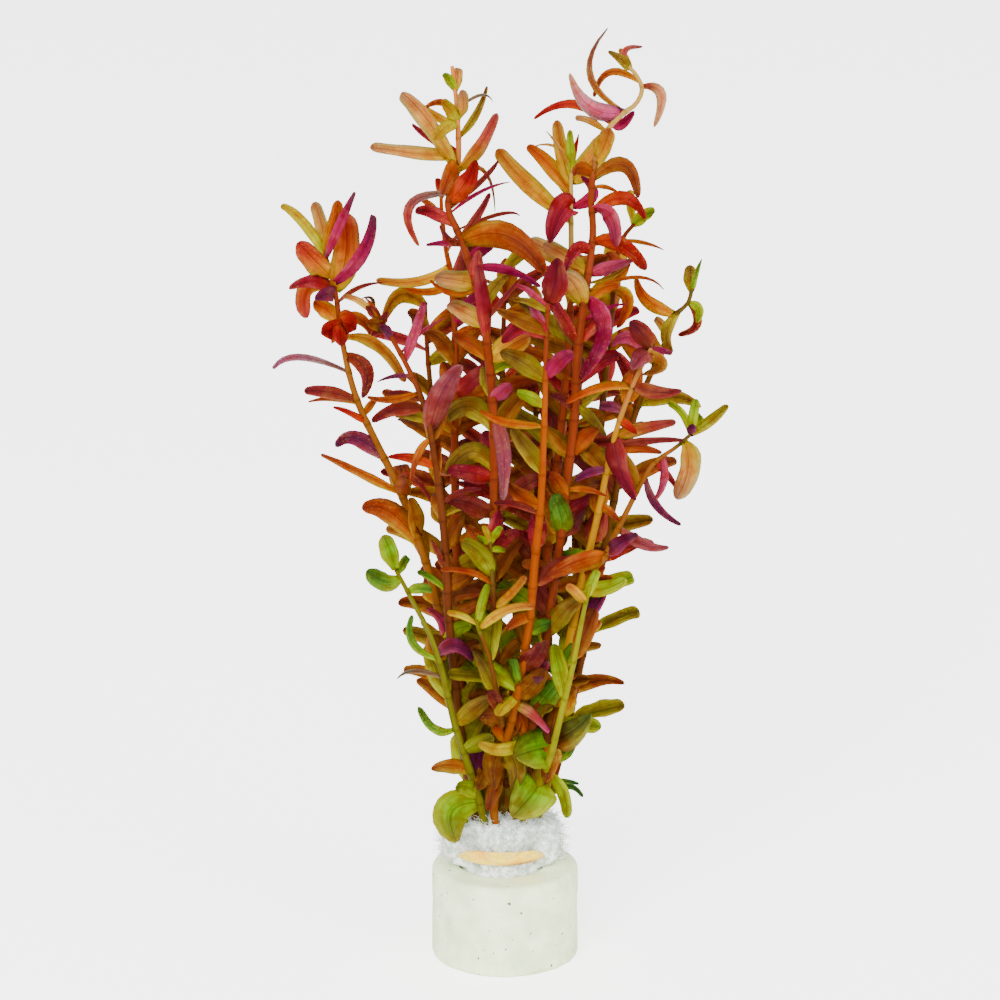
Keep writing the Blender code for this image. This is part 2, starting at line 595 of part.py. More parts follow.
class Blade:
    """A leaf's blade: a curve from the stem to the tip, with the way that its face looks."""

    def __init__(self, start, bend, tip, width, face, roll):
        self.start = start
        self.control = bend * 2 - (start + tip) / 2
        self.tip = tip
        self.width = width
        self.face = face
        self.roll = roll

    def point(self, t):
        return self.start * (1 - t)**2 + self.control * 2 * t * (1 - t) + self.tip * t**2

    def direction(self, t):
        return ((self.control - self.start) * (1 - t) + (self.tip - self.control) * t).normalized()

    def loop(self, t, width, thickness):
        """A section's two edges and its keel, anticlockwise as seen from the tip."""
        direction = self.direction(t)
        normal = across_of(self.face, direction)
        normal = Matrix.Rotation(self.roll, 3, direction) @ normal
        half_across = normal.cross(direction) * width / 2
        half_through = normal * thickness / 2
        top = self.point(t) + half_through
        return [top + half_across, top - half_across, top - 2 * half_through]

    def sections(self):
        turn = self.direction(0).angle(self.direction(1))
        if turn > STRONG_BEND:
            return BENT_LEAF_SECTIONS
        return NARROW_LEAF_SECTIONS if self.width < NARROW_WIDTH else LEAF_SECTIONS

    def loops(self, margin=0.0):
        """The sections of the blade, each grown by a margin all round."""
        return [
            self.loop(t, self.width * share + 2 * margin, LEAF_THICKNESS + 2 * margin)
            for t, share in self.sections()
        ]

    def outline(self, margin=0.0):
        """The blade with its root as points and polygons, the root polygons first."""
        loops = [self.loop(0.0, ROOT_WIDTH + 2 * margin, ROOT_WIDTH + 2 * margin), *self.loops(margin)]
        points = [point for loop in loops for point in loop]
        points.append(self.tip + self.direction(1) * margin)
        polygons = []
        last = 3 * (len(loops) - 1)
        for first in range(0, last, 3):
            for side in range(3):
                after = (side + 1) % 3
                polygons.append((first + side, first + after, first + after + 3, first + side + 3))
        for side in range(3):
            polygons.append((last + side, last + (side + 1) % 3, last + 3))
        return points, polygons


ROOT_POLYGONS = 3


def tube_tree(route):
    """The stem's surface as a tree to test leaves against."""
    points = []
    for index in range(TEST_LOOPS + 1):
        distance = index * route.length / TEST_LOOPS
        radius = route.radius(distance) + TEST_MARGIN
        for side in range(TEST_SIDES):
            out = route.outward(distance, side * math.tau / TEST_SIDES)
            points.append(route.point(distance) + out * radius)
    polygons = []
    for first in range(0, TEST_LOOPS * TEST_SIDES, TEST_SIDES):
        for side in range(TEST_SIDES):
            after = (side + 1) % TEST_SIDES
            above = first + TEST_SIDES
            polygons.append((first + side, first + after, above + after, above + side))
    return BVHTree.FromPolygons(points, polygons)


class Crowd:
    """All that is already placed, to keep new leaves clear of it."""

    def __init__(self, stems, holder):
        self.stems = stems
        self.holder = holder
        self.points = []
        self.polygons = []
        self.owners = []
        self.leaves = None

    def is_clear(self, blade, owner):
        """Whether both a blade and the same blade grown by the clearance meet nothing."""
        return all(self.meets_nothing(blade, owner, margin) for margin in (0.0, CLEARANCE))

    def meets_nothing(self, blade, owner, margin):
        points, polygons = blade.outline(margin)
        whole = BVHTree.FromPolygons(points, polygons)
        free = BVHTree.FromPolygons(points, polygons[ROOT_POLYGONS:])
        if any(whole.overlap(tree) for tree in self.holder):
            return False
        for name, tree in self.stems.items():
            if (free if name == owner else whole).overlap(tree):
                return False
        if self.leaves is None:
            return True
        for mine, other in whole.overlap(self.leaves):
            their_owner, their_root = self.owners[other]
            if their_owner != owner or not (mine < ROOT_POLYGONS and their_root):
                return False
        return True

    def add(self, blade, owner):
        points, polygons = blade.outline()
        start = len(self.points)
        self.points += points
        for index, polygon in enumerate(polygons):
            self.polygons.append(tuple(corner + start for corner in polygon))
            self.owners.append((owner, index < ROOT_POLYGONS))
        self.leaves = BVHTree.FromPolygons(self.points, self.polygons)


class Seat:
    """A side of a stem at a whorl, where one leaf grows."""

    def __init__(self, distance, side):
        self.distance = distance
        self.side = side
        self.blade = None


def front_seats(route, leaves):
    """A seat for each front leaf, with leaves at nearly one height sharing a whorl."""
    wanted = []
    for leaf in leaves:
        distance = min(route.nearest(Vector(leaf.base)), route.length - WHORL_HEIGHT)
        towards = seen_at(*(leaf.bend or leaf.tip), route.point(distance).y + leaf.lean / 2)
        wanted.append((distance, towards, leaf))
    wanted.sort(key=lambda item: item[0])
    seats = []
    whorl = -math.inf
    used = set()
    for distance, towards, leaf in wanted:
        side = best_side(route, max(distance, whorl), towards, used)
        if distance - whorl > WHORL_MERGE or side is None:
            whorl = max(distance, whorl + WHORL_SPACING)
            used = set()
            side = best_side(route, whorl, towards, used)
        used.add(side)
        seats.append((Seat(whorl, side), leaf))
    return seats


def side_turn(side):
    return (side + 0.5) * math.tau / STEM_SIDES


def best_side(route, distance, towards, used):
    """The free side of the stem that looks most towards a point, or None if none does."""
    way = across_of(towards - route.point(distance), route.direction(distance))
    looks = {
        side: way.dot(route.outward(distance, side_turn(side)))
        for side in range(STEM_SIDES)
        if side not in used
    }
    best = max(looks, key=looks.get, default=None)
    return best if best is not None and (looks[best] > LEAST_LOOK or not used) else None


def seat_point(route, seat):
    out = route.outward(seat.distance, side_turn(seat.side))
    flat_share = math.cos(math.pi / STEM_SIDES)
    return route.point(seat.distance) + out * route.radius(seat.distance) * flat_share


def front_blades(route, seat, leaf, roll):
    """The blades that a front leaf may take, all seen alike but at different depths."""
    start = seat_point(route, seat)
    for change in LEAN_CHANGES:
        lean = leaf.lean + change
        tip = seen_at(*leaf.tip, start.y + lean)
        if leaf.bend:
            bend = seen_at(*leaf.bend, start.y + lean / 2)
        else:
            bend = (start + tip) / 2 + Vector((0, 0, (tip - start).length * FRONT_ARCH))
        yield Blade(start, bend, tip, leaf.width, EYE - start, roll)


def fill_blades(route, seat, fill, turn, draw):
    """The blades that a hidden leaf may take, at different turns round its stem."""
    start = seat_point(route, seat)
    direction = route.direction(seat.distance)
    length = fill.length * (1 + FILL_VARIATION * (2 * draw[0] - 1))
    rise = FILL_RISE * (1 + FILL_VARIATION * (2 * draw[1] - 1))
    roll = FRONT_ROLL * (2 * draw[2] - 1)
    for shortening in FILL_SHORTENINGS:
        for change in FILL_TURNS:
            out = route.outward(seat.distance, turn + math.radians(change))
            way = out * math.sin(rise) + direction * math.cos(rise)
            tip = start + (way + Vector((0, 0, -FILL_DROOP))) * length * shortening
            bend = start + way * length * shortening / 2
            hidden = abs(tip.x) < HIDDEN_WIDEST and HIDDEN_FRONT < tip.y < HIDDEN_BACK
            if hidden:
                yield Blade(start, bend, tip, fill.width, FILL_FACE, roll)


def fill_seats(route, fill, taken):
    """Seats of the hidden whorls, which point left and right, turned to the front and back by turns."""
    seats = []
    height = fill.lowest
    turn = FILL_SPREAD
    while height <= fill.highest:
        distance = route.at_height(height)
        height += fill.step
        turn = -turn
        if any(abs(distance - other) < FILL_GAP for other in taken):
            continue
        used = set()
        for index in range(fill.count):
            way = turn + index * math.tau / fill.count
            towards = route.point(distance) + route.outward(distance, way) * 10
            side = best_side(route, distance, towards, used)
            used.add(side)
            seats.append((Seat(distance, side), way))
    return seats


def new_object(name, mesh, colour, roughness):
    bmesh.ops.recalc_face_normals(mesh, faces=mesh.faces)
    bmesh.ops.scale(mesh, vec=(MILLIMETRE,) * 3, verts=mesh.verts)
    data = bpy.data.meshes.new(name)
    mesh.to_mesh(data)
    mesh.free()
    material = bpy.data.materials.new(name)
    material.use_nodes = True
    shader = material.node_tree.nodes["Principled BSDF"]
    shader.inputs["Base Color"].default_value = (*colour, 1.0)
    shader.inputs["Roughness"].default_value = roughness
    shader.inputs["Metallic"].default_value = 0.0
    data.materials.append(material)
    made = bpy.data.objects.new(name, data)
    bpy.context.scene.collection.objects.link(made)
    return made


def bridge(mesh, first, second):
    """A band of faces between two loops of the same count."""
    count = len(first)
    for side in range(count):
        after = (side + 1) % count
        mesh.faces.new((first[side], first[after], second[after], second[side]))


def arc(centre_radius, centre_height, rounding, start, steps=3):
    """Points of a quarter round of a turned profile, as (radius, height)."""
    return [
        (
            centre_radius + rounding * math.cos(start + index * math.pi / 2 / steps),
            centre_height + rounding * math.sin(start + index * math.pi / 2 / steps),
        )
        for index in range(steps + 1)
    ]


def make_ring():
    outside = arc(RING_RADIUS - FOOT_ROUNDING, FOOT_ROUNDING, FOOT_ROUNDING, -math.pi / 2, 1)
    outside += arc(RING_RADIUS - RIM_ROUNDING, RING_HEIGHT - RIM_ROUNDING, RIM_ROUNDING, 0)
    hole_rim = HOLE_RADIUS + HOLE_ROUNDING
    inside = arc(hole_rim, RING_HEIGHT - HOLE_ROUNDING, HOLE_ROUNDING, math.pi / 2, 1)
    inside += arc(hole_rim, HOLE_ROUNDING, HOLE_ROUNDING, math.pi, 1)
    mesh = bmesh.new()
    loops = []
    for profile, centre in ((outside, Vector()), (inside, HOLE_CENTRE)):
        for radius, height in profile:
            loop = []
            for side in range(RING_SIDES):
                turn = side * math.tau / RING_SIDES
                out = Vector((math.cos(turn), math.sin(turn), 0)) * radius
                loop.append(mesh.verts.new(centre + out + Vector((0, 0, height))))
            loops.append(loop)
    for first, second in zip(loops, loops[1:] + loops[:1]):
        bridge(mesh, first, second)
    return new_object("ceramic_ring", mesh, RING_COLOUR, 0.7)


def make_wool():
    mesh = bmesh.new()
    loops = []
    for rows, lump in ((WOOL_OUTSIDE, WOOL_LUMP), (WOOL_INSIDE, 0.0)):
        for height, front, around, sector in rows:
            loop = []
            for side in range(WOOL_SIDES):
                turn = (side + 0.5) * math.tau / WOOL_SIDES
                from_front = abs((turn + math.pi / 2 + math.pi) % math.tau - math.pi)
                past = from_front / math.radians(sector) - 1 + WOOL_BLEND
                share = min(1.0, max(0.0, past / (2 * WOOL_BLEND)))
                reach = front + (around - front) * share
                if height > WOOL_LUMP_FROM:
                    reach += lump * share * math.sin(WOOL_LUMPS * turn + height)
                out = Vector((math.cos(turn), math.sin(turn), 0)) * reach
                loop.append(mesh.verts.new(HOLE_CENTRE + out + Vector((0, 0, height))))
            loops.append(loop)
    for first, second in zip(loops, loops[1:] + loops[:1]):
        bridge(mesh, first, second)
    return new_object("filter_wool", mesh, WOOL_COLOUR, 0.95)


def make_slip():
    """A strip bent to an arc in plan, whose ends narrow to points."""
    bend_radius = (SLIP_HALF_LENGTH**2 + SLIP_SAGITTA**2) / (2 * SLIP_SAGITTA)
    half_turn = math.asin(SLIP_HALF_LENGTH / bend_radius)
    middle = Vector((HOLE_CENTRE.x, SLIP_FRONT + bend_radius, 0))
    mesh = bmesh.new()
    loops = []
    for station in range(SLIP_STATIONS):
        share = 2 * station / (SLIP_STATIONS - 1) - 1
        turn = share * half_turn
        height = SLIP_HEIGHT * (1 - (1 - SLIP_END_SHARE) * share**4)
        low = SLIP_LOW + SLIP_END_RISE * share**2
        out = Vector((math.sin(turn), -math.cos(turn), 0))
        loops.append([
            mesh.verts.new(middle + out * (bend_radius - inset) + Vector((0, 0, low + rise)))
            for inset, rise in (
                (0, 0), (0, height), (SLIP_THICKNESS, height), (SLIP_THICKNESS, 0)
            )
        ])
    for first, second in zip(loops, loops[1:]):
        bridge(mesh, first, second)
    mesh.faces.new(loops[0])
    mesh.faces.new(loops[-1])
    return new_object("tan_slip", mesh, SLIP_COLOUR, 0.7)


def tree_of(made):
    """A made object's surface in millimetres, as a tree to test leaves against."""
    points = [vertex.co / MILLIMETRE for vertex in made.data.vertices]
    return BVHTree.FromPolygons(points, [tuple(face.vertices) for face in made.data.polygons])


def bends_between(route, start, end):
    """Where a tube between two loops needs more of them to stay on the stem's centre line."""
    chord = route.point(end) - route.point(start)
    farthest, where = 0.0, start
    for index in range(1, BEND_SAMPLES):
        distance = start + (end - start) * index / BEND_SAMPLES
        offset = route.point(distance) - route.point(start)
        gap = (offset - offset.project(chord)).length
        if gap > farthest:
            farthest, where = gap, distance
    if farthest < BEND_TOLERANCE:
        return []
    return [*bends_between(route, start, where), where, *bends_between(route, where, end)]


def ring_distances(route, whorls):
    """Where the stem's tube has a loop: its ends, both edges of each whorl, and bends."""
    fixed = [0.0, route.length]
    for distance in whorls:
        fixed += [distance - WHORL_HEIGHT / 2, distance + WHORL_HEIGHT / 2]
    fixed.sort()
    found = []
    for start, end in zip(fixed, fixed[1:]):
        found += [start, *bends_between(route, start, end)]
    found.append(fixed[-1])
    return found


def grow_leaf(mesh, face, blade):
    """Grows a leaf out of one side of the stem, section by section."""
    base = list(face.verts)
    mesh.faces.remove(face)
    loops = [[mesh.verts.new(corner) for corner in loop] for loop in blade.loops()]
    first = loops[0]
    turns = [(start, match) for start in range(4) for match in range(3)]

    def stretch(turn):
        start, match = turn
        pairs = ((0, 0), (1, 0), (2, 1), (3, 2))
        return sum(
            (base[(start + mine) % 4].co - first[(match + theirs) % 3].co).length
            for mine, theirs in pairs
        )

    start, match = min(turns, key=stretch)
    base = base[start:] + base[:start]
    first = first[match:] + first[:match]
    mesh.faces.new((base[0], base[1], first[0]))
    mesh.faces.new((base[1], base[2], first[1], first[0]))
    mesh.faces.new((base[2], base[3], first[2], first[1]))
    mesh.faces.new((base[3], base[0], first[0], first[2]))
    for lower, upper in zip(loops, loops[1:]):
        bridge(mesh, lower, upper)
    tip = mesh.verts.new(blade.tip)
    for side in range(3):
        mesh.faces.new((loops[-1][side], loops[-1][(side + 1) % 3], tip))


def make_stem(name, stem, route, seats):
    whorls = sorted({seat.distance for seat in seats})
    mesh = bmesh.new()
    distances = ring_distances(route, whorls)
    loops = []
    for distance in distances:
        centre = route.point(distance)
        radius = route.radius(distance)
        loops.append([
            mesh.verts.new(centre + route.outward(distance, side * math.tau / STEM_SIDES) * radius)
            for side in range(STEM_SIDES)
        ])
    mesh.faces.new(reversed(loops[0]))
    mesh.faces.new(loops[-1])
    sides = {}
    for distance, first, second in zip(distances, loops, loops[1:]):
        for side in range(STEM_SIDES):
            after = (side + 1) % STEM_SIDES
            sides[distance, side] = mesh.faces.new(
                (first[side], first[after], second[after], second[side])
            )
    for seat in seats:
        grow_leaf(mesh, sides[seat.distance - WHORL_HEIGHT / 2, seat.side], seat.blade)
    return new_object(name, mesh, stem.colour, 0.45)


def first_clear(crowd, name, seat, blades):
    """Seats the first of the blades that meets nothing, and says whether there was one."""
    for blade in blades:
        if crowd.is_clear(blade, name):
            crowd.add(blade, name)
            seat.blade = blade
            return True
    return False


def grow_front(crowd, name, route, leaves):
    """The seats of a stem's front leaves that have room."""
    grown = []
    for seat, leaf in front_seats(route, leaves):
        draw = random.Random(f"{name} {leaf.tip}").random()
        blades = front_blades(route, seat, leaf, FRONT_ROLL * (2 * draw - 1))
        if first_clear(crowd, name, seat, blades):
            grown.append(seat)
    return grown


def grow_hidden(crowd, name, route, fill, taken):
    """The seats of a stem's hidden leaves that have room."""
    grown = []
    for index, (seat, turn) in enumerate(fill_seats(route, fill, taken)):
        draws = random.Random(f"{name} hidden {index}")
        blades = fill_blades(route, seat, fill, turn, [draws.random() for _ in range(3)])
        if first_clear(crowd, name, seat, blades):
            grown.append(seat)
    return grown


def main():
    for old in list(bpy.data.objects):
        bpy.data.objects.remove(old, do_unlink=True)
    holder = [tree_of(made) for made in (make_ring(), make_wool(), make_slip())]
    routes = {name: Route(stem) for name, stem in STEMS.items()}
    crowd = Crowd({name: tube_tree(route) for name, route in routes.items()}, holder)
    grown = {name: [] for name in STEMS}
    for name, leaves in LEAVES.items():
        grown[name] += grow_front(crowd, name, routes[name], leaves)
    for name, fill in FILLS.items():
        taken = [seat.distance for seat in grown[name]]
        grown[name] += grow_hidden(crowd, name, routes[name], fill, taken)
    for name, stem in STEMS.items():
        make_stem(name, stem, routes[name], grown[name])


main()
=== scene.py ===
"""A bunch of cut rotala in its ceramic ring: the finished surfaces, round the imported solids."""

import math
import random
from collections import namedtuple

import bpy
import numpy as np
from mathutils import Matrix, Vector, noise
from mathutils.bvhtree import BVHTree


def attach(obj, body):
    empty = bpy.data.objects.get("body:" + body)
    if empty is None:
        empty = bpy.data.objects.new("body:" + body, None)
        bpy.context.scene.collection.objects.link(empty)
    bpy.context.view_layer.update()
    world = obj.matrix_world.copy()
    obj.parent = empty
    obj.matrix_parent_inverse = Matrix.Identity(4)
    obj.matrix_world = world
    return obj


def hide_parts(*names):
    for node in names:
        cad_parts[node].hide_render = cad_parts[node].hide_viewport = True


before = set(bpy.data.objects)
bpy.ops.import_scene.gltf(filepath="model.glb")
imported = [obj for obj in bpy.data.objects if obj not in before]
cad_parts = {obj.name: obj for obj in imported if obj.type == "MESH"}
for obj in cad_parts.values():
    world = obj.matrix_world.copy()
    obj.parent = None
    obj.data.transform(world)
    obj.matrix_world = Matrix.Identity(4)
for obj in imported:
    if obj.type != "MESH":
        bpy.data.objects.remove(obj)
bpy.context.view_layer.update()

# The viewpoint
# A shop's picture: a long lens from far off, level with the top of the bunch and looking a little
# down. Stems and leaves are placed below by where this viewpoint sees them, in millimetres.
MM = 0.001
EYE = Vector((-1.16, -950.0, 396.0))
EYE_TILT = math.radians(16.75)
FRAME_PIXELS = 1000
FRAME_MIDDLE = 500.0
FOCAL_PIXELS = 4369.0
SENSOR_WIDTH = 36.0

bpy.ops.object.camera_add(location=EYE * MM, rotation=(math.pi / 2 - EYE_TILT, 0, 0))
camera = bpy.context.object
camera.data.sensor_width = SENSOR_WIDTH
camera.data.lens = FOCAL_PIXELS / FRAME_PIXELS * SENSOR_WIDTH
bpy.context.scene.camera = camera


def seen_at(across, down, depth):
    """The point that the viewpoint sees at a place of its frame, a depth behind the ring's axis."""
    up = (FRAME_MIDDLE - down) / FOCAL_PIXELS
    ray = Vector((
        (across - FRAME_MIDDLE) / FOCAL_PIXELS,
        math.cos(EYE_TILT) + up * math.sin(EYE_TILT),
        up * math.cos(EYE_TILT) - math.sin(EYE_TILT),
    ))
    return EYE + ray * ((depth - EYE.y) / ray.y)


def places_of(points):
    """Where in the frame an array of points is seen, across and down."""
    sight = points - np.array(EYE)
    away = sight[:, 1] * math.cos(EYE_TILT) - sight[:, 2] * math.sin(EYE_TILT)
    up = sight[:, 1] * math.sin(EYE_TILT) + sight[:, 2] * math.cos(EYE_TILT)
    scale = FOCAL_PIXELS / away
    return np.column_stack((FRAME_MIDDLE + sight[:, 0] * scale, FRAME_MIDDLE - up * scale))


# The ceramic ring
# A heavy ring cast in off-white clay and fired without a glaze. It sinks the bunch and holds it
# upright. Its hole is a little off the middle, its faces have dents and pits, its foot is chipped.
RING_RADIUS = 17.0
RING_HEIGHT = 22.0
RIM_ROUNDING = 1.5
FOOT_ROUNDING = 0.7
HOLE_RADIUS = 9.9
HOLE_ROUNDING = 0.7
HOLE_CENTRE = Vector((-0.8, 0.6, 0.0))
RING_SIDES = 160
RING_VOXEL = 0.42
EDGE_MARGIN = 0.01
CLAY_LIGHT = (0.86, 0.97, 0.60)
CLAY_DARK = (0.66, 0.77, 0.45)
CLAY_PIT = (0.10, 0.095, 0.06)
# Each chip of the foot: turn from the front in degrees, its reach and its depth
FOOT_CHIPS = [(31, 1.9, 0.8), (24, 1.0, 0.5), (39, 1.2, 0.6), (12, 0.9, 0.35), (-8, 0.8, 0.3),
              (52, 1.3, 0.5), (-38, 1.1, 0.4), (130, 1.8, 0.7), (205, 1.4, 0.6), (290, 1.0, 0.4)]
# Each pit of the wall: turn, height, reach and depth
WALL_PITS = [(-36, 18.5, 0.45, 0.4), (38, 19.0, 0.4, 0.35), (-31, 12.0, 0.3, 0.3), (5, 8.0, 0.35, 0.3),
             (22, 14.5, 0.3, 0.25), (-15, 5.5, 0.4, 0.3), (100, 12.0, 0.5, 0.4), (160, 7.0, 0.4, 0.4),
             (235, 15.0, 0.5, 0.4), (280, 9.0, 0.4, 0.3), (-62, 15.5, 0.55, 0.45)]


def deselect_all():
    for chosen in list(bpy.context.selected_objects):
        chosen.select_set(False)


def select_only(*pieces):
    """Selects some pieces and nothing else; the last of them is the active one."""
    deselect_all()
    for piece in pieces:
        piece.select_set(True)
    bpy.context.view_layer.objects.active = pieces[-1]


def join(*pieces):
    """Joins some pieces into the last of them."""
    select_only(*pieces)
    bpy.ops.object.join()


def select_edges(piece, wanted):
    """Selects the edges of a piece, in edit mode, whose two ends are both wanted."""
    for edge in piece.data.edges:
        ends = [piece.data.vertices[corner].co for corner in edge.vertices]
        edge.select = all(wanted(end / MM) for end in ends)


def edit(piece, step, select=None, **sizes):
    """One edit-mode step on a piece, on all of it or on the edges that `select` wants."""
    bpy.context.view_layer.objects.active = piece
    bpy.ops.object.mode_set(mode="EDIT")
    bpy.ops.mesh.select_mode(type="EDGE")
    bpy.ops.mesh.select_all(action="DESELECT" if select else "SELECT")
    bpy.ops.object.mode_set(mode="OBJECT")
    if select:
        select_edges(piece, select)
    bpy.ops.object.mode_set(mode="EDIT")
    step(**sizes)
    bpy.ops.object.mode_set(mode="OBJECT")


def modify(piece, kind, **settings):
    """Adds a modifier to a piece and applies it."""
    bpy.context.view_layer.objects.active = piece
    modifier = piece.modifiers.new(kind, kind)
    for name, value in settings.items():
        setattr(modifier, name, value)
    bpy.ops.object.modifier_apply(modifier=modifier.name)


def finish_piece(piece, name, node, material=None):
    """Names a piece, gives it the material if there is one, and has it stand for its solid."""
    piece.name = name
    piece.data.name = name
    select_only(piece)
    bpy.ops.object.transform_apply(location=True, rotation=True, scale=True)
    if material:
        piece.data.materials.clear()
        piece.data.materials.append(material)
    bpy.ops.object.shade_smooth()
    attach(piece, "root")
    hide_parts(node)


def turned_out(turn_degrees, reach, height):
    """A point at a turn from the front, round the ring's axis, in millimetres."""
    turn = math.radians(turn_degrees)
    return Vector((math.sin(turn) * reach, -math.cos(turn) * reach, height))


NOISE_SMOOTHNESS = 0.8
NOISE_STEP = 2.0
NOISE_LAYERS = 4


def rough(point, scale, depth):
    """Fractal noise of a depth at a point, with features about 1 / scale wide."""
    value = noise.fractal(
        point * scale, NOISE_SMOOTHNESS, NOISE_STEP, NOISE_LAYERS, noise_basis="PERLIN_ORIGINAL",
    )
    return value * depth


deselect_all()
bpy.ops.mesh.primitive_cylinder_add(
    vertices=RING_SIDES, radius=RING_RADIUS * MM, depth=RING_HEIGHT * MM,
    location=(0, 0, RING_HEIGHT / 2 * MM),
)
ring = bpy.context.object
bpy.ops.object.transform_apply(location=True)
deselect_all()
bpy.ops.mesh.primitive_cylinder_add(
    vertices=RING_SIDES, radius=HOLE_RADIUS * MM, depth=2 * RING_HEIGHT * MM,
    location=(HOLE_CENTRE + Vector((0, 0, RING_HEIGHT / 2))) * MM,
)
hole = bpy.context.object
modify(ring, "BOOLEAN", operation="DIFFERENCE", object=hole)
bpy.data.objects.remove(hole)


def on_top(point):
    return point.z > RING_HEIGHT - EDGE_MARGIN


def on_foot(point):
    return point.z < EDGE_MARGIN


def on_wall(point):
    return point.xy.length > RING_RADIUS - EDGE_MARGIN


def on_hole(point):
    return (point - HOLE_CENTRE).xy.length < HOLE_RADIUS + EDGE_MARGIN


edit(ring, bpy.ops.mesh.bevel, select=lambda point: on_top(point) and on_wall(point),
     offset=RIM_ROUNDING * MM, segments=5)
edit(ring, bpy.ops.mesh.bevel, select=lambda point: on_foot(point) and on_wall(point),
     offset=FOOT_ROUNDING * MM, segments=3)
edit(ring, bpy.ops.mesh.bevel, select=lambda point: (on_top(point) or on_foot(point)) and on_hole(point),
     offset=HOLE_ROUNDING * MM, segments=3)
modify(ring, "REMESH", mode="VOXEL", voxel_size=RING_VOXEL * MM)

DENT_SCALE = 0.13
DENT_DEPTH = 0.30
GRAIN_SCALE = 0.9
GRAIN_DEPTH = 0.06
CHIP_INSET = 0.3
CHIP_HEIGHT = 0.1
# The dents fade in over this height above the foot, and keep this far from the hole
FOOT_FADE = 0.3
HOLE_MARGIN = 1.5


def read_points(data, key="co"):
    """The points of a mesh in millimetres, or their normals."""
    flat = np.empty(3 * len(data.vertices))
    data.vertices.foreach_get(key, flat)
    return flat.reshape(-1, 3) / (MM if key == "co" else 1)


def write_points(data, points):
    data.vertices.foreach_set("co", (np.asarray(points) * MM).ravel())
    data.update()


def dimple(points, place, reach, depth):
    """How deep a round dimple is at each point."""
    near = np.linalg.norm(points - np.array(place), axis=1) / reach
    return depth * np.maximum(0.0, 1 - near * near)


points = read_points(ring.data)
normals = read_points(ring.data, "normal")
push = np.array([
    rough(Vector(point), DENT_SCALE, DENT_DEPTH) + rough(Vector(point), GRAIN_SCALE, GRAIN_DEPTH)
    for point in points
])
for turn, reach, depth in FOOT_CHIPS:
    push -= dimple(points, turned_out(turn, RING_RADIUS - CHIP_INSET, CHIP_HEIGHT), reach, depth)
for turn, height, reach, depth in WALL_PITS:
    push -= dimple(points, turned_out(turn, RING_RADIUS, height), reach, depth)
push = np.maximum(0.0, -push) * np.clip(points[:, 2] / FOOT_FADE, 0, 1)
push *= np.linalg.norm(points[:, :2], axis=1) > HOLE_RADIUS + HOLE_MARGIN
write_points(ring.data, points - normals * push[:, None])


def add_node(tree, kind, inputs=None, **settings):
    """Adds a shader node; an input is a value, or another node's output to link to it."""
    made = tree.nodes.new(kind)
    for name, value in settings.items():
        setattr(made, name, value)
    for socket, value in (inputs or {}).items():
        if isinstance(value, bpy.types.NodeSocket):
            tree.links.new(value, made.inputs[socket])
        else:
            made.inputs[socket].default_value = value
    return made


def between(tree, share, low, high):
    """The colour at a share of the way from one colour to another."""
    mix = add_node(tree, "ShaderNodeMix", {0: share, 6: low, 7: high}, data_type="RGBA")
    return mix.outputs[2]


def opaque(colour):
    return (*colour, 1.0)


def make_mottle():
    """The shared patches: where a noise of some scale lies above a level, from 0 to 1."""
    group = bpy.data.node_groups.new("mottle", "ShaderNodeTree")
    for name, kind, value in (
        ("Vector", "NodeSocketVector", None), ("Scale", "NodeSocketFloat", 5.0),
        ("Detail", "NodeSocketFloat", 4.0), ("From", "NodeSocketFloat", 0.4),
        ("To", "NodeSocketFloat", 0.6),
    ):
        socket = group.interface.new_socket(name, in_out="INPUT", socket_type=kind)
        if value is not None:
            socket.default_value = value
    group.interface.new_socket("Mask", in_out="OUTPUT", socket_type="NodeSocketFloat")
    given = group.nodes.new("NodeGroupInput").outputs
    grain = add_node(group, "ShaderNodeTexNoise", {
        "Vector": given["Vector"], "Scale": given["Scale"], "Detail": given["Detail"],
    })
    mask = add_node(group, "ShaderNodeMapRange", {
        "Value": grain.outputs["Fac"], "From Min": given["From"], "From Max": given["To"],
    }, interpolation_type="SMOOTHSTEP")
    out = group.nodes.new("NodeGroupOutput")
    group.links.new(mask.outputs["Result"], out.inputs["Mask"])
    return group


mottle = make_mottle()


def patches(tree, vector, scale, low, high, detail=4.0):
    """The mask of the shared mottle group: a noise's scale, where it starts and is full, its detail."""
    made = add_node(tree, "ShaderNodeGroup", node_tree=mottle)
    tree.links.new(vector, made.inputs["Vector"])
    for name, value in (("Scale", scale), ("Detail", detail), ("From", low), ("To", high)):
        made.inputs[name].default_value = value
    return made.outputs["Mask"]


def stretched(tree, vector, *scale):
    return add_node(tree, "ShaderNodeMapping", {"Vector": vector, "Scale": scale}).outputs["Vector"]


def scaled(tree, value, factor):
    return add_node(tree, "ShaderNodeMath", {0: value, 1: factor}, operation="MULTIPLY").outputs[0]


def laid_over(tree, colour, mask, upper, share):
    """A colour with a share of an upper colour laid over it where a mask is bright."""
    return between(tree, scaled(tree, mask, share), colour, upper)


def level(tree, value, low, high):
    """A value's share of the way from one level to another, from 0 to 1."""
    made = add_node(tree, "ShaderNodeMapRange", {"Value": value, "From Min": low, "From Max": high})
    return made.outputs["Result"]


DULL_SHINE = 0.15


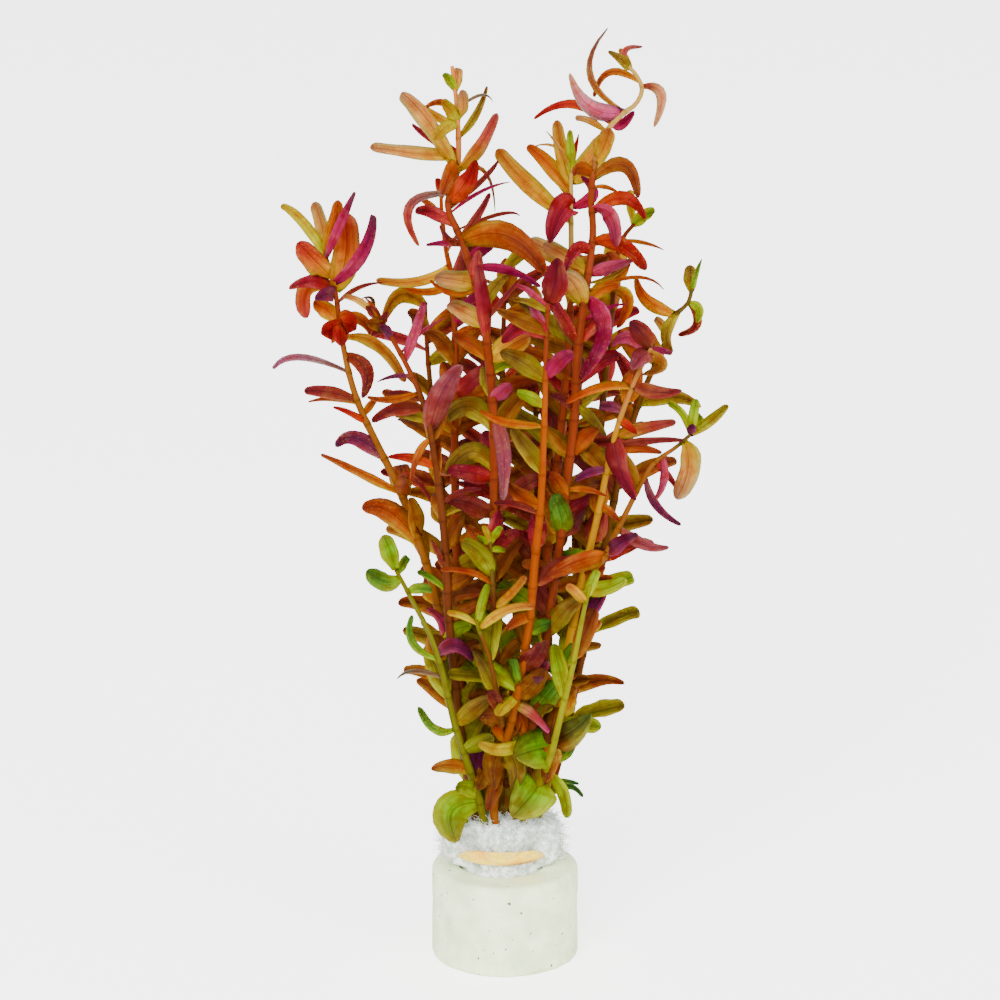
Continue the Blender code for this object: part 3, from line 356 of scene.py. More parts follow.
def new_material(name, roughness, **sockets):
    """A material with one Principled shader, and its node tree, shader and object coordinates."""
    material = bpy.data.materials.new(name)
    material.use_nodes = True
    tree = material.node_tree
    shader = tree.nodes["Principled BSDF"]
    shader.inputs["Roughness"].default_value = roughness
    shader.inputs["Specular IOR Level"].default_value = DULL_SHINE
    for socket, value in sockets.items():
        shader.inputs[socket.replace("_", " ")].default_value = value
    spots = add_node(tree, "ShaderNodeTexCoord").outputs["Object"]
    return material, tree, shader, spots


def raise_surface(tree, shader, height, strength, distance):
    bump = add_node(tree, "ShaderNodeBump", {
        "Height": height, "Strength": strength, "Distance": distance * MM,
    })
    tree.links.new(bump.outputs["Normal"], shader.inputs["Normal"])


# A painted patch of yellowish light on the rim beside the slip: its centre, reaches and colour
LIT_PATCH_SPOT = Vector((5.0, -11.0, 22.5))
LIT_PATCH_REACH = 6.0
LIT_PATCH_CORE = 1.0
LIT_PATCH_COLOUR = (0.90, 0.86, 0.30)
# The patterns: the scale of the noise, the levels where it starts and is full, and its detail
CLAY_CLOUDS = (160, 0.35, 0.7)
CLAY_BRUSHING = (2600, 0.55, 0.75, 2.0)
CLAY_SPECKS = (900, 0.735, 0.76, 1.0)
# How a pattern's axes are scaled, so that it is drawn out up and down
DRAWN_UP = (1.0, 1.0, 0.07)


def make_clay():
    """Unglazed cast clay: pale, faintly patchy, brushed up and down, a few dark specks, painted light by
    the slip.
    """
    material, tree, shader, spots = new_material("unglazed_clay", roughness=0.82)
    colour = between(tree, patches(tree, spots, *CLAY_CLOUDS), opaque(CLAY_LIGHT), opaque(CLAY_DARK))
    brushed = patches(tree, stretched(tree, spots, *DRAWN_UP), *CLAY_BRUSHING)
    colour = laid_over(tree, colour, brushed, opaque(CLAY_DARK), share=0.25)
    # The painted yellowish light beside the slip, laid over the clay
    gap = add_node(tree, "ShaderNodeVectorMath", {0: spots, 1: LIT_PATCH_SPOT * MM}, operation="DISTANCE")
    lit_patch = level(tree, gap.outputs["Value"], LIT_PATCH_REACH * MM, LIT_PATCH_CORE * MM)
    colour = laid_over(tree, colour, lit_patch, opaque(LIT_PATCH_COLOUR), share=0.6)
    colour = between(tree, patches(tree, spots, *CLAY_SPECKS), colour, opaque(CLAY_PIT))
    tree.links.new(colour, shader.inputs["Base Color"])
    raise_surface(tree, shader, brushed, strength=0.35, distance=0.08)
    return material


finish_piece(ring, "cast_ring", "ceramic_ring", make_clay())

# The filter wool
# A strip of white polyester filter wool wound round the cut ends and pushed into the hole. It is
# loose fibre, squeezed by the hole, swollen above it, and pushed in by the slip at the front.
WOOL_LOW = 2.5
WOOL_TOP = 34.0
# Height, reach to the front, reach to the sides and back
WOOL_FORM = [(2.5, 9.4, 9.4), (22.0, 9.3, 9.4), (23.0, 9.0, 12.6), (25.0, 8.2, 13.9), (28.0, 8.4, 14.2),
             (30.0, 9.8, 14.0), (32.5, 9.6, 12.8), (34.0, 7.5, 9.0)]
# How far round the slip presses the wool in, and the shares of this turn over which that fades
PRESSED_TURN = 62.0
PRESSED_FADE = (0.75, 1.25)
WOOL_SIDES = 72
WOOL_VOXEL = 0.6
LUMP_DEPTH = 1.3
LUMP_SCALE = 0.45
LUMP_SINK = 0.6
WOOL_SEED = 21
FIBRES = 3600
FIBRE_RADIUS = 0.055
FIBRE_LENGTH = (1.6, 4.6)
FIBRE_KNOTS = 5
FIBRE_SIDES = 3
FIBRE_END_SHARE = 0.35
FIBRE_RISE = (0.15, 0.8)
FIBRE_CURL = 0.55
FIBRE_ROOT = 0.3
FIBRES_FROM = 21.5
FIBRE_CLEARANCE = 0.1
# A direction that hardly any fibre takes, from which a thread's first side is found
ANY_SIDE = Vector((0.3, 0.2, 1.0))
# The wool's white, and the painted grey shade laid in noise patches that stand for its hollows
WOOL_WHITE = (1.0, 1.0, 0.97)
WOOL_SHADE_GREY = (0.54, 0.64, 0.52)
WOOL_SHADED_HOLLOWS = (700, 0.38, 0.62)
WOOL_TUFTS = (1500, 0.3, 0.7)


def wool_reach(height, turn_degrees):
    """How far the wool reaches at a height and a turn from the front."""
    heights = [row[0] for row in WOOL_FORM]
    front = float(np.interp(height, heights, [row[1] for row in WOOL_FORM]))
    around = float(np.interp(height, heights, [row[2] for row in WOOL_FORM]))
    fade_from, fade_to = PRESSED_FADE
    share = (abs(turn_degrees) / PRESSED_TURN - fade_from) / (fade_to - fade_from)
    share = min(1.0, max(0.0, share))
    share = share * share * (3 - 2 * share)
    return front + (around - front) * share


def add_object(name, data):
    made = bpy.data.objects.new(name, data)
    bpy.context.scene.collection.objects.link(made)
    return made


def add_mesh(name, points, faces):
    """A new object of faces between points in millimetres."""
    data = bpy.data.meshes.new(name)
    data.from_pydata([tuple(point * MM) for point in points], [], faces)
    data.update()
    return add_object(name, data)


def across_of(vector, direction):
    """The part of a vector that is square to a direction, at unit length."""
    return (vector - direction * vector.dot(direction)).normalized()


def thin_thread(points, radius, sides):
    """A closed thread through points, thinner at its ends, as points and faces."""
    corners, faces = [], []
    side = ANY_SIDE
    for index, point in enumerate(points):
        ahead = points[min(index + 1, len(points) - 1)]
        behind = points[max(index - 1, 0)]
        direction = (ahead - behind).normalized()
        side = across_of(side, direction)
        other = direction.cross(side)
        along = (index + 0.5) / len(points)
        share = FIBRE_END_SHARE + (1 - FIBRE_END_SHARE) * math.sin(math.pi * along)
        for corner in range(sides):
            turn = corner * math.tau / sides
            corners.append(point + (side * math.cos(turn) + other * math.sin(turn)) * radius * share)
    for index in range(len(points) - 1):
        for corner in range(sides):
            after = (corner + 1) % sides
            first = index * sides
            faces.append((first + corner, first + after, first + sides + after, first + sides + corner))
    last = (len(points) - 1) * sides
    faces.append(tuple(range(sides))[::-1])
    faces.append(tuple(last + corner for corner in range(sides)))
    return corners, faces


deselect_all()
bpy.ops.mesh.primitive_cylinder_add(
    vertices=WOOL_SIDES, radius=HOLE_RADIUS * MM, depth=(WOOL_TOP - WOOL_LOW) * MM,
    location=(HOLE_CENTRE + Vector((0, 0, (WOOL_TOP + WOOL_LOW) / 2))) * MM,
)
wool = bpy.context.object
bpy.ops.object.transform_apply(location=True)
modify(wool, "REMESH", mode="VOXEL", voxel_size=WOOL_VOXEL * MM)
spots = []
for spot in read_points(wool.data):
    spot = Vector(spot) - HOLE_CENTRE
    turn = math.degrees(math.atan2(spot.x, -spot.y))
    share = spot.xy.length / HOLE_RADIUS
    lump = abs(rough(spot, LUMP_SCALE, LUMP_DEPTH)) if spot.z > RING_HEIGHT else 0.0
    out = Vector((spot.x, spot.y, 0)).normalized()
    reach = wool_reach(spot.z, turn) * share - lump * share
    spots.append(HOLE_CENTRE + out * reach + Vector((0, 0, spot.z - lump * LUMP_SINK)))
write_points(wool.data, spots)


def wool_fibre(root, away, draws):
    """One loose fibre: it leaves the wool at a slant and curls."""
    length = draws.uniform(*FIBRE_LENGTH)
    drift = Vector([draws.uniform(-1, 1) for _ in range(3)])
    way = (away * draws.uniform(*FIBRE_RISE) + across_of(drift, away)).normalized()
    curl = Vector([draws.uniform(-1, 1) for _ in range(3)]) * FIBRE_CURL
    points = [root - away * FIBRE_ROOT]
    for _ in range(FIBRE_KNOTS - 1):
        points.append(points[-1] + way * length / (FIBRE_KNOTS - 1))
        way = (way + curl).normalized()
    return points


draws = random.Random(WOOL_SEED)
open_faces = [face for face in wool.data.polygons if face.center.z > FIBRES_FROM * MM]
threads, thread_faces = [], []
for _ in range(FIBRES):
    face = draws.choice(open_faces)
    points = wool_fibre(face.center / MM, face.normal.copy(), draws)
    if min(point.z for point in points) < RING_HEIGHT + FIBRE_CLEARANCE:
        continue
    corners, faces = thin_thread(points, FIBRE_RADIUS, FIBRE_SIDES)
    thread_faces += [tuple(corner + len(threads) for corner in face) for face in faces]
    threads += corners
join(add_mesh("fibres", threads, thread_faces), wool)


def make_wool():
    """White fibre that scatters light: bright where it is loose, with painted grey shade in patches for
    its hollows.
    """
    material, tree, shader, spots = new_material("filter_wool_fibre", roughness=0.9)
    colour = between(tree, patches(tree, spots, *WOOL_SHADED_HOLLOWS), opaque(WOOL_SHADE_GREY), opaque(WOOL_WHITE))
    tree.links.new(colour, shader.inputs["Base Color"])
    raise_surface(tree, shader, patches(tree, spots, *WOOL_TUFTS), strength=0.8, distance=0.3)
    return material


finish_piece(wool, "wound_wool", "filter_wool", make_wool())

# The tan slip
# A thin slip of pale veneer, bent along the front of the hole between its wall and the wool. Its
# upper edge is straight, its ends run out thin, and a painted brown shadow runs along its lower edge.
SLIP_HALF_LENGTH = 10.3
SLIP_SAGITTA = 4.4
SLIP_FRONT = -9.1
SLIP_THICKNESS = 0.8
# The slip's thickness at its ends, and how much is added in its middle, as shares
SLIP_END_THICKNESS = 0.55
SLIP_MIDDLE_THICKNESS = 0.25
SLIP_LOW = 24.6
SLIP_HEIGHT = 3.0
SLIP_END_SHARE = 0.25
SLIP_END_RISE = 0.5
SLIP_LEAN = 0.35
SLIP_ROUNDING = 0.12
SLIP_RAGGEDNESS = 0.05
SLIP_RAGGED_SCALES = (9, 2)
SLIP_WAVE = 0.15
SLIP_WAVE_SCALE = 4
SLIP_CUTS = 40
SLIP_CREAM = (0.93, 0.62, 0.04)
SLIP_SHADOW = 0.8
SLIP_ORANGE = (0.80, 0.32, 0.01)
# The colour of the painted shadow along the slip's lower edge
SLIP_EDGE_SHADOW = (0.16, 0.07, 0.02)
VENEER_FIBRES = (1800, 0.35, 0.65, 3.0)
VENEER_WARMTH = (260, 0.45, 0.65)
DRAWN_SIDEWAYS = (0.12, 1.0, 1.0)
# The painted shadow along the lower edge: the heights above the slip's foot where it starts and is
# darkest, and how far to each side of the middle it fades in from left to right
EDGE_SHADOW_HEIGHTS = (0.9, 0.1)
EDGE_SHADOW_REACH = 4.0

slip_bend = (SLIP_HALF_LENGTH**2 + SLIP_SAGITTA**2) / (2 * SLIP_SAGITTA)
slip_half_turn = math.asin(SLIP_HALF_LENGTH / slip_bend)
slip_middle = Vector((HOLE_CENTRE.x, SLIP_FRONT + slip_bend, 0))
deselect_all()
bpy.ops.mesh.primitive_cube_add(size=1.0)
slip = bpy.context.object
edit(slip, bpy.ops.mesh.bevel, offset=SLIP_ROUNDING, segments=2)
edit(slip, bpy.ops.mesh.subdivide, number_cuts=SLIP_CUTS)
for vertex in slip.data.vertices:
    along, through, up = vertex.co * 2
    turn = along * slip_half_turn
    grain = Vector((along * SLIP_RAGGED_SCALES[0], up * SLIP_RAGGED_SCALES[1], 0))
    ragged = 1 + SLIP_RAGGEDNESS * noise.noise(grain)
    height = SLIP_HEIGHT * (1 - (1 - SLIP_END_SHARE) * along**4) * ragged
    wave = SLIP_WAVE * noise.noise(Vector((along * SLIP_WAVE_SCALE, 0, 3)))
    low = SLIP_LOW + SLIP_END_RISE * along**2 + wave
    thickness = SLIP_THICKNESS * (SLIP_END_THICKNESS + SLIP_MIDDLE_THICKNESS * (1 - abs(along)))
    out = Vector((math.sin(turn), -math.cos(turn), 0))
    reach = slip_bend - SLIP_THICKNESS / 2 - through * thickness / 2
    lean = SLIP_LEAN * (up + 1) / 2
    spot = slip_middle + out * (reach - lean) + Vector((0, 0, low + height * (up + 1) / 2))
    vertex.co = spot * MM


def make_veneer():
    """Pale veneer: fine fibres along the slip, warmer in patches, a painted brown shadow along its lower
    edge.
    """
    material, tree, shader, spots = new_material("pale_veneer", roughness=0.65)
    streaks = patches(tree, stretched(tree, spots, *DRAWN_SIDEWAYS), *VENEER_FIBRES)
    shadow = [SLIP_SHADOW * part for part in SLIP_CREAM]
    colour = between(tree, streaks, opaque(SLIP_CREAM), opaque(shadow))
    axes = add_node(tree, "ShaderNodeSeparateXYZ", {"Vector": spots}).outputs
    shadow_from, shadow_to = ((SLIP_LOW + height) * MM for height in EDGE_SHADOW_HEIGHTS)
    edge_shadow = level(tree, axes["Z"], shadow_from, shadow_to)
    rightwards = level(tree, axes["X"], -EDGE_SHADOW_REACH * MM, EDGE_SHADOW_REACH * MM)
    colour = laid_over(tree, colour, patches(tree, spots, *VENEER_WARMTH), opaque(SLIP_ORANGE), share=0.7)
    # A painted brown shadow along the lower edge, fading in from left to right
    colour = laid_over(tree, colour, edge_shadow, opaque(SLIP_EDGE_SHADOW), share=rightwards)
    tree.links.new(colour, shader.inputs["Base Color"])
    raise_surface(tree, shader, streaks, strength=0.4, distance=0.1)
    return material


finish_piece(slip, "veneer_slip", "tan_slip", make_veneer())

# The stems
# Seventeen cut stems of a soft water plant, wedged in the wool in a close pattern, and two side
# shoots that fork from them. A stem is a smooth rod with joints, and is red-brown in strong light
# near the water's surface and green lower down.
STEM_PITCH = 3.1
STEM_FOOT = 2.0
MOUTH_HEIGHT = 26.0
STEM_RADIUS = 1.0
TIP_RADIUS = 0.42
TIP_TAPER = 70.0
TIP_SHAPE = 0.8
STEM_SIDES_SETTING = 3
STEM_STEP = 1.5
STEM_END_GAP = 0.2
ROUTE_STEP = 1.0
JOINT_SWELL = 0.16
JOINT_REACH = 0.8
JOINT_LINE = 0.3
JOINT_DARKNESS = 0.4
JOINT_LOOPS = (-0.9, -0.4, 0.0, 0.4, 0.9)
JOINT_MERGE = 5.5
# How far up a stem its low shade ends, its middle shade starts and ends, and its high shade starts
SHADE_ENDS = (0.15, 0.55, 0.86, 0.92)

Stem = namedtuple("Stem", "finish slot shades route")
Route = namedtuple("Route", "points ways sides reach")

# Each stem: its finish, its column and row in the wool, or None for a side shoot, its shades at the
# foot, the middle and the tip, and its route from the tip down as (across, down, depth)
STEMS = {
    "stem_tall_left": Stem("red_plant", (-1, 0), ("moss", "rust", "peach"), [
        (452, 66, -6), (457, 110, -7), (458, 165, -8), (448, 205, -9), (457, 230, -10),
        (471, 268, -12), (482, 310, -14), (490, 370, -14), (494, 440, -12), (493, 540, -9),
        (489, 640, -6), (486, 720, -3), (484, 805, -1),
    ]),
    "stem_thin_left": Stem("red_plant", (-2, 1), ("brown", "rust", "orange"), [
        (441, 195, 6), (442, 215, 6), (446, 250, 6), (453, 285, 7), (455, 340, 7),
        (455, 400, 7), (455, 480, 7), (457, 560, 7), (460, 640, 6), (465, 720, 5),
        (473, 804, 3),
    ]),
    "stem_peach": Stem("red_plant", (1, 0), ("umber", "rust", "cream"), [
        (571, 168, 3), (571, 215, 3), (571, 260, 4), (569, 330, 5), (562, 420, 5),
        (551, 520, 5), (541, 620, 4), (531, 720, 2), (524, 806, 0),
    ]),
    "stem_tall_right": Stem("red_plant", (0, -1), ("brown", "rust", "cream"), [
        (628, 66, 4), (637, 76, 5), (642, 90, 6), (636, 104, 5), (625, 112, 4),
        (612, 124, 3), (604, 136, 2), (598, 150, 1), (593, 175, 0), (591, 200, 0),
        (593, 230, 0), (590, 262, -2), (583, 310, -5), (578, 350, -7), (574, 420, -9),
        (566, 490, -10), (559, 550, -10), (549, 620, -9), (538, 700, -7), (525, 760, -5),
        (517, 806, -3.5),
    ]),
    "stem_centre": Stem("red_plant", (0, -2), ("amber", "copper", "rust"), [
        (548, 303, -26), (546, 350, -25), (545, 400, -23), (541, 500, -19), (535, 560, -17),
        (529, 625, -14), (518, 690, -11), (505, 750, -8), (494, 808, -6),
    ]),
    "stem_left": Stem("red_plant", (-2, 0), ("brown", "amber", "rust"), [
        (325, 254, -4), (334, 283, -4), (344, 350, -5), (357, 400, -6), (380, 450, -6),
        (400, 490, -6), (420, 545, -6), (433, 585, -5), (445, 640, -4), (455, 700, -3),
        (463, 750, -2), (471, 803, 0),
    ]),
    "stem_brown": Stem("brown_plant", (-2, -1), ("umber", "brown", "rust"), [
        (373, 313, -20), (385, 328, -20), (405, 362, -19), (424, 405, -18), (434, 455, -17),
        (441, 505, -16), (446, 560, -14), (449, 620, -12), (455, 680, -9), (462, 740, -6),
        (473, 805, -3.5),
    ]),
    "stem_yellow": Stem("green_plant", (2, 0), ("lemon", "straw", "tan"), [
        (651, 348, -14), (640, 370, -14), (633, 385, -14), (618, 425, -13), (608, 465, -12),
        (600, 505, -11), (592, 540, -10), (582, 580, -9), (573, 625, -8), (563, 670, -7),
        (557, 700, -6), (553, 740, -5), (548, 780, -4), (541, 808, -2),
    ]),
    "stem_right": Stem("red_plant", None, ("amber", "amber", "olive"), [
        (690, 435, -4), (675, 448, -5), (655, 462, -6), (643, 480, -7), (630, 505, -8),
        (615, 535, -10), (606, 555, -11), (593, 571, -10.5),
    ]),
    "stem_green_right": Stem("green_plant", (1, 1), ("rust", "umber", "olive"), [
        (692, 288, 12), (688, 303, 12), (676, 315, 12), (668, 335, 12), (655, 365, 12),
        (640, 400, 12), (625, 450, 11), (612, 510, 10), (598, 580, 9), (583, 650, 7),
        (568, 720, 5), (553, 780, 4), (543, 808, 3.5),
    ]),
    "stem_back_right": Stem("green_plant", (1, 2), ("moss", "umber", "rust"), [
        (636, 222, 16), (622, 240, 17), (615, 270, 18), (611, 320, 18), (605, 380, 18),
        (598, 450, 17), (588, 530, 15), (575, 620, 12), (560, 700, 10), (546, 770, 8),
        (536, 806, 6.5),
    ]),
    "stem_back_left": Stem("red_plant", (-1, 2), ("brown", "umber", "rust"), [
        (425, 302, 16), (428, 360, 17), (436, 440, 17), (446, 530, 16), (458, 640, 13),
        (469, 730, 10), (484, 806, 6),
    ]),
    "stem_back_mid_left": Stem("brown_plant", (-1, 1), ("brown", "umber", "rust"), [
        (505, 270, 14), (503, 350, 14), (500, 450, 13), (498, 560, 11), (497, 680, 7),
        (497, 805, 3),
    ]),
    "stem_back_mid_right": Stem("brown_plant", (0, 1), ("brown", "umber", "rust"), [
        (583, 300, 24), (580, 380, 23), (570, 470, 20), (555, 570, 16), (540, 680, 10),
        (521, 806, 3.5),
    ]),
    "stem_back_centre": Stem("brown_plant", (0, 2), ("brown", "umber", "rust"), [
        (540, 310, 31), (537, 400, 30), (528, 500, 24), (520, 600, 18), (513, 700, 12),
        (507, 806, 6),
    ]),
    "stem_green_left": Stem("green_plant", (-1, -2), ("moss", "moss", "moss"), [
        (396, 570, -24), (412, 600, -23), (430, 635, -20), (443, 675, -17), (455, 725, -13),
        (468, 765, -9.5), (481, 806, -5.8),
    ]),
    "shoot_mid": Stem("green_plant", (0, 0), ("brown", "brown", "olive"), [
        (490, 540, -15), (492, 575, -14), (496, 640, -10), (501, 720, -5), (507, 806, -1),
    ]),
    "shoot_low": Stem("green_plant", None, ("umber", "umber", "moss"), [
        (476, 620, -20), (479, 630, -20), (485, 645, -18), (490, 660, -17), (496, 690, -14),
        (502, 726, -11.4),
    ]),
    "shoot_right": Stem("brown_plant", (1, -2), ("amber", "lemon", "lemon"), [
        (590, 585, -22), (583, 615, -21), (573, 665, -18), (562, 710, -15), (549, 760, -9.5),
        (530, 806, -4.3),
    ]),
}


def smooth_through(knots):
    """Points about a step apart on a Catmull-Rom curve through the knots."""
    ends = [knots[0] * 2 - knots[1], *knots, knots[-1] * 2 - knots[-2]]
    points = []
    for before, start, end, after in zip(ends, ends[1:], ends[2:], ends[3:]):
        count = max(1, round((end - start).length / ROUTE_STEP))
        for index in range(count):
            t = index / count
            points.append(0.5 * (
                2 * start
                + (end - before) * t
                + (2 * before - 5 * start + 4 * end - after) * t**2
                + (3 * start - before - 3 * end + after) * t**3
            ))
    points.append(knots[-1])
    return points


def make_route(stem):
    """A stem's centre line from foot to tip, with its direction and a side at every point."""
    knots = [seen_at(*spot) for spot in reversed(stem.route)]
    if stem.slot:
        column, row = stem.slot
        place = HOLE_CENTRE + Vector((column + row % 2 / 2, row * math.sqrt(3) / 2, 0)) * STEM_PITCH
        knots = [place + Vector((0, 0, STEM_FOOT)), place + Vector((0, 0, MOUTH_HEIGHT)), *knots]
    points = smooth_through(knots)
    ways = []
    for index in range(len(points)):
        ahead, behind = points[min(index + 1, len(points) - 1)], points[max(index - 1, 0)]
        ways.append((ahead - behind).normalized())
    sides = [across_of(Vector((1, 0, 0)), ways[0])]
    for way in ways[1:]:
        sides.append(across_of(sides[-1], way))
    steps = [(end - start).length for start, end in zip(points, points[1:])]
    reach = np.concatenate(([0.0], np.cumsum(steps)))
    return Route(np.array(points), np.array(ways), np.array(sides), reach)


routes = {name: make_route(stem) for name, stem in STEMS.items()}

# The colours of a shade at a leaf's base, its middle and its tip
SHADES = {
    "tan": ((0.29, 0.18, 0.0), (0.28, 0.11, 0.02), (0.12, 0.05, 0.03)),
    "orange": ((0.3, 0.095, 0.0), (0.24, 0.03, 0.0), (0.11, 0.01, 0.004)),
    "red": ((0.27, 0.02, 0.0), (0.16, 0.004, 0.004), (0.075, 0.004, 0.004)),
    "crimson": ((0.2, 0.008, 0.008), (0.11, 0.004, 0.012), (0.05, 0.002, 0.008)),
    "magenta": ((0.21, 0.004, 0.035), (0.11, 0.002, 0.025), (0.05, 0.002, 0.016)),
    "maroon": ((0.1, 0.016, 0.008), (0.065, 0.006, 0.008), (0.035, 0.004, 0.006)),
    "pink": ((0.25, 0.014, 0.045), (0.17, 0.012, 0.04), (0.08, 0.008, 0.02)),
    "rust": ((0.23, 0.05, 0.0), (0.14, 0.02, 0.004), (0.06, 0.008, 0.004)),
    "copper": ((0.3, 0.1, 0.0), (0.2, 0.035, 0.0), (0.11, 0.012, 0.002)),
    "gold": ((0.34, 0.19, 0.0), (0.27, 0.095, 0.002), (0.13, 0.035, 0.01)),
    "yellow": ((0.31, 0.29, 0.0), (0.25, 0.18, 0.0), (0.16, 0.08, 0.004)),
    "lime": ((0.2, 0.26, 0.0), (0.11, 0.18, 0.0), (0.055, 0.1, 0.004)),
    "green": ((0.085, 0.16, 0.002), (0.035, 0.1, 0.006), (0.016, 0.05, 0.006)),
    "darkgreen": ((0.04, 0.065, 0.008), (0.01, 0.04, 0.006), (0.004, 0.02, 0.004)),
    "olive": ((0.15, 0.11, 0.002), (0.085, 0.05, 0.006), (0.045, 0.025, 0.004)),
    "brown": ((0.13, 0.035, 0.004), (0.08, 0.018, 0.004), (0.04, 0.008, 0.004)),
    "umber": ((0.14, 0.045, 0.004), (0.09, 0.03, 0.004), (0.05, 0.014, 0.004)),
    "purple": ((0.085, 0.014, 0.03), (0.05, 0.004, 0.025), (0.025, 0.004, 0.014)),
    "peach": ((0.68, 0.29, 0.04), (0.45, 0.14, 0.025), (0.28, 0.065, 0.02)),
    "dark": ((0.04, 0.012, 0.004), (0.025, 0.008, 0.002), (0.008, 0.004, 0.002)),
    "amber": ((0.23, 0.085, 0.002), (0.16, 0.05, 0.004), (0.09, 0.02, 0.006)),
    "straw": ((0.36, 0.19, 0.0), (0.25, 0.11, 0.0), (0.14, 0.05, 0.006)),
    "moss": ((0.13, 0.15, 0.002), (0.09, 0.085, 0.004), (0.045, 0.04, 0.004)),
    "grey": ((0.095, 0.06, 0.03), (0.045, 0.04, 0.03), (0.025, 0.03, 0.03)),
    "smoke": ((0.21, 0.06, 0.006), (0.09, 0.03, 0.016), (0.02, 0.025, 0.03)),
    "mauve": ((0.075, 0.04, 0.045), (0.17, 0.04, 0.085), (0.13, 0.03, 0.075)),
    "lemon": ((0.24, 0.21, 0.0), (0.15, 0.15, 0.0), (0.095, 0.075, 0.004)),
    "cream": ((0.47, 0.34, 0.05), (0.35, 0.21, 0.04), (0.25, 0.14, 0.03)),
    "rose": ((0.36, 0.03, 0.11), (0.42, 0.09, 0.14), (0.4, 0.24, 0.07)),
    "sunset": ((0.34, 0.16, 0.0), (0.26, 0.035, 0.004), (0.15, 0.006, 0.012)),
    "fresh": ((0.11, 0.18, 0.0), (0.085, 0.22, 0.0), (0.07, 0.065, 0.008)),
    "bronze": ((0.04, 0.012, 0.004), (0.045, 0.055, 0.008), (0.02, 0.045, 0.008)),
    "dusk": ((0.27, 0.12, 0.0), (0.19, 0.02, 0.016), (0.095, 0.02, 0.02)),
    "ember": ((0.055, 0.04, 0.04), (0.11, 0.004, 0.01), (0.13, 0.016, 0.004)),
    "wine": ((0.095, 0.008, 0.008), (0.075, 0.004, 0.012), (0.035, 0.002, 0.008)),
    "mallow": ((0.15, 0.025, 0.02), (0.12, 0.016, 0.03), (0.095, 0.025, 0.035)),
    "petal": ((0.095, 0.016, 0.016), (0.29, 0.1, 0.045), (0.22, 0.095, 0.045)),
    "haze": ((0.26, 0.04, 0.045), (0.18, 0.025, 0.025), (0.03, 0.018, 0.025)),
    "blush": ((0.17, 0.12, 0.004), (0.26, 0.035, 0.035), (0.31, 0.002, 0.075)),
}


def along_route(route, distances, key="points"):
    """Points of a route, or its directions or sides, at distances along it."""
    values = getattr(route, key)
    return np.column_stack([np.interp(distances, route.reach, values[:, part]) for part in range(3)])


def make_rod(name, spots, thickness):
    """A closed round rod through places in millimetres, with its radius at each."""
    line = bpy.data.curves.new(name, "CURVE")
    line.dimensions = "3D"
    line.bevel_depth = STEM_RADIUS * MM
    line.bevel_resolution = STEM_SIDES_SETTING
    line.use_fill_caps = True
    spline = line.splines.new("POLY")
    spline.points.add(len(spots) - 1)
    for point, spot, radius in zip(spline.points, spots, thickness):
        point.co = (*(spot * MM), 1.0)
        point.radius = radius / STEM_RADIUS
    select_only(add_object(name, line))
    bpy.ops.object.convert(target="MESH")
    return bpy.context.object


ROD_LUCK = 0.5
ROD_PATTERN_STEP = 0.01


def paint(data, tint, luck, places):
    """Gives a mesh its tint, with a lucky number as its fourth part, and its texture places."""
    colour = data.attributes.new("tint", "FLOAT_COLOR", "POINT")
    colour.data.foreach_set("color", np.column_stack((tint, luck)).ravel())
    layer = data.uv_layers.new(name="UVMap")
    corners = np.empty(len(data.loops), dtype=int)
    data.loops.foreach_get("vertex_index", corners)
    layer.data.foreach_set("uv", places[corners].ravel())


def near(distances, reach):
    """How near something is, from 1 at no distance to 0 far past its reach."""
    return np.exp(-((distances / reach) ** 2))


def grow_stem(name, stem, route, joints):
    """A stem's rod, with a swelling and a dark line at every joint and its shades along it."""
    end = route.reach[-1]
    marks = [joint + gap for joint in joints for gap in JOINT_LOOPS]
    marks = [*marks, *np.arange(1, end, STEM_STEP)]
    marks = [mark for mark in marks if STEM_END_GAP < mark < end - STEM_END_GAP]
    marks = np.array(sorted({0.0, end, *np.round(marks, 1)}))
    spots = along_route(route, marks)
    from_joint = np.min(np.abs(marks[:, None] - np.array(joints)[None, :]), axis=1)
    from_tip = np.minimum(1.0, (end - marks) / TIP_TAPER) ** TIP_SHAPE
    thickness = TIP_RADIUS + (STEM_RADIUS - TIP_RADIUS) * from_tip
    thickness *= 1 + JOINT_SWELL * near(from_joint, JOINT_REACH)
    rod = make_rod(name, spots, thickness)
    skin = read_points(rod.data)
    nearest = np.argmin(np.linalg.norm(skin[:, None, :] - spots[None, :, :], axis=2), axis=1)
    low, middle, high = (SHADES[shade][1] for shade in stem.shades)
    tint = np.column_stack([
        np.interp(marks[nearest] / end, SHADE_ENDS, [low[part], middle[part], middle[part], high[part]])
        for part in range(3)
    ])
    band = 1 - JOINT_DARKNESS * near(from_joint[nearest], JOINT_LINE)
    outward = skin - spots[nearest]
    side = along_route(route, marks, "sides")[nearest]
    other = np.cross(along_route(route, marks, "ways")[nearest], side)
    around = np.arctan2(np.sum(outward * other, axis=1), np.sum(outward * side, axis=1)) / math.pi
    places = np.column_stack((np.abs(around), marks[nearest] * ROD_PATTERN_STEP))
    paint(rod.data, tint * band[:, None], np.full(len(skin), ROD_LUCK), places)
    return rod


# The leaves
# A leaf is thin, soft and without a stalk. It grows from a joint, is broadest near its middle,
# folded a little along its midrib and waved at its margins. All are made from one blade.
LEAF_COLUMNS = 2
LEAF_ROWS = 12
LEAF_THICKNESS = 0.2
BASE_WIDTH = 0.35
TIP_WIDTH = 0.22
BLADE_RIM = 0.499
# How far along the round tip its rows of points are, as shares of its length
TIP_ROWS = (0.5, 0.85, 1.0)
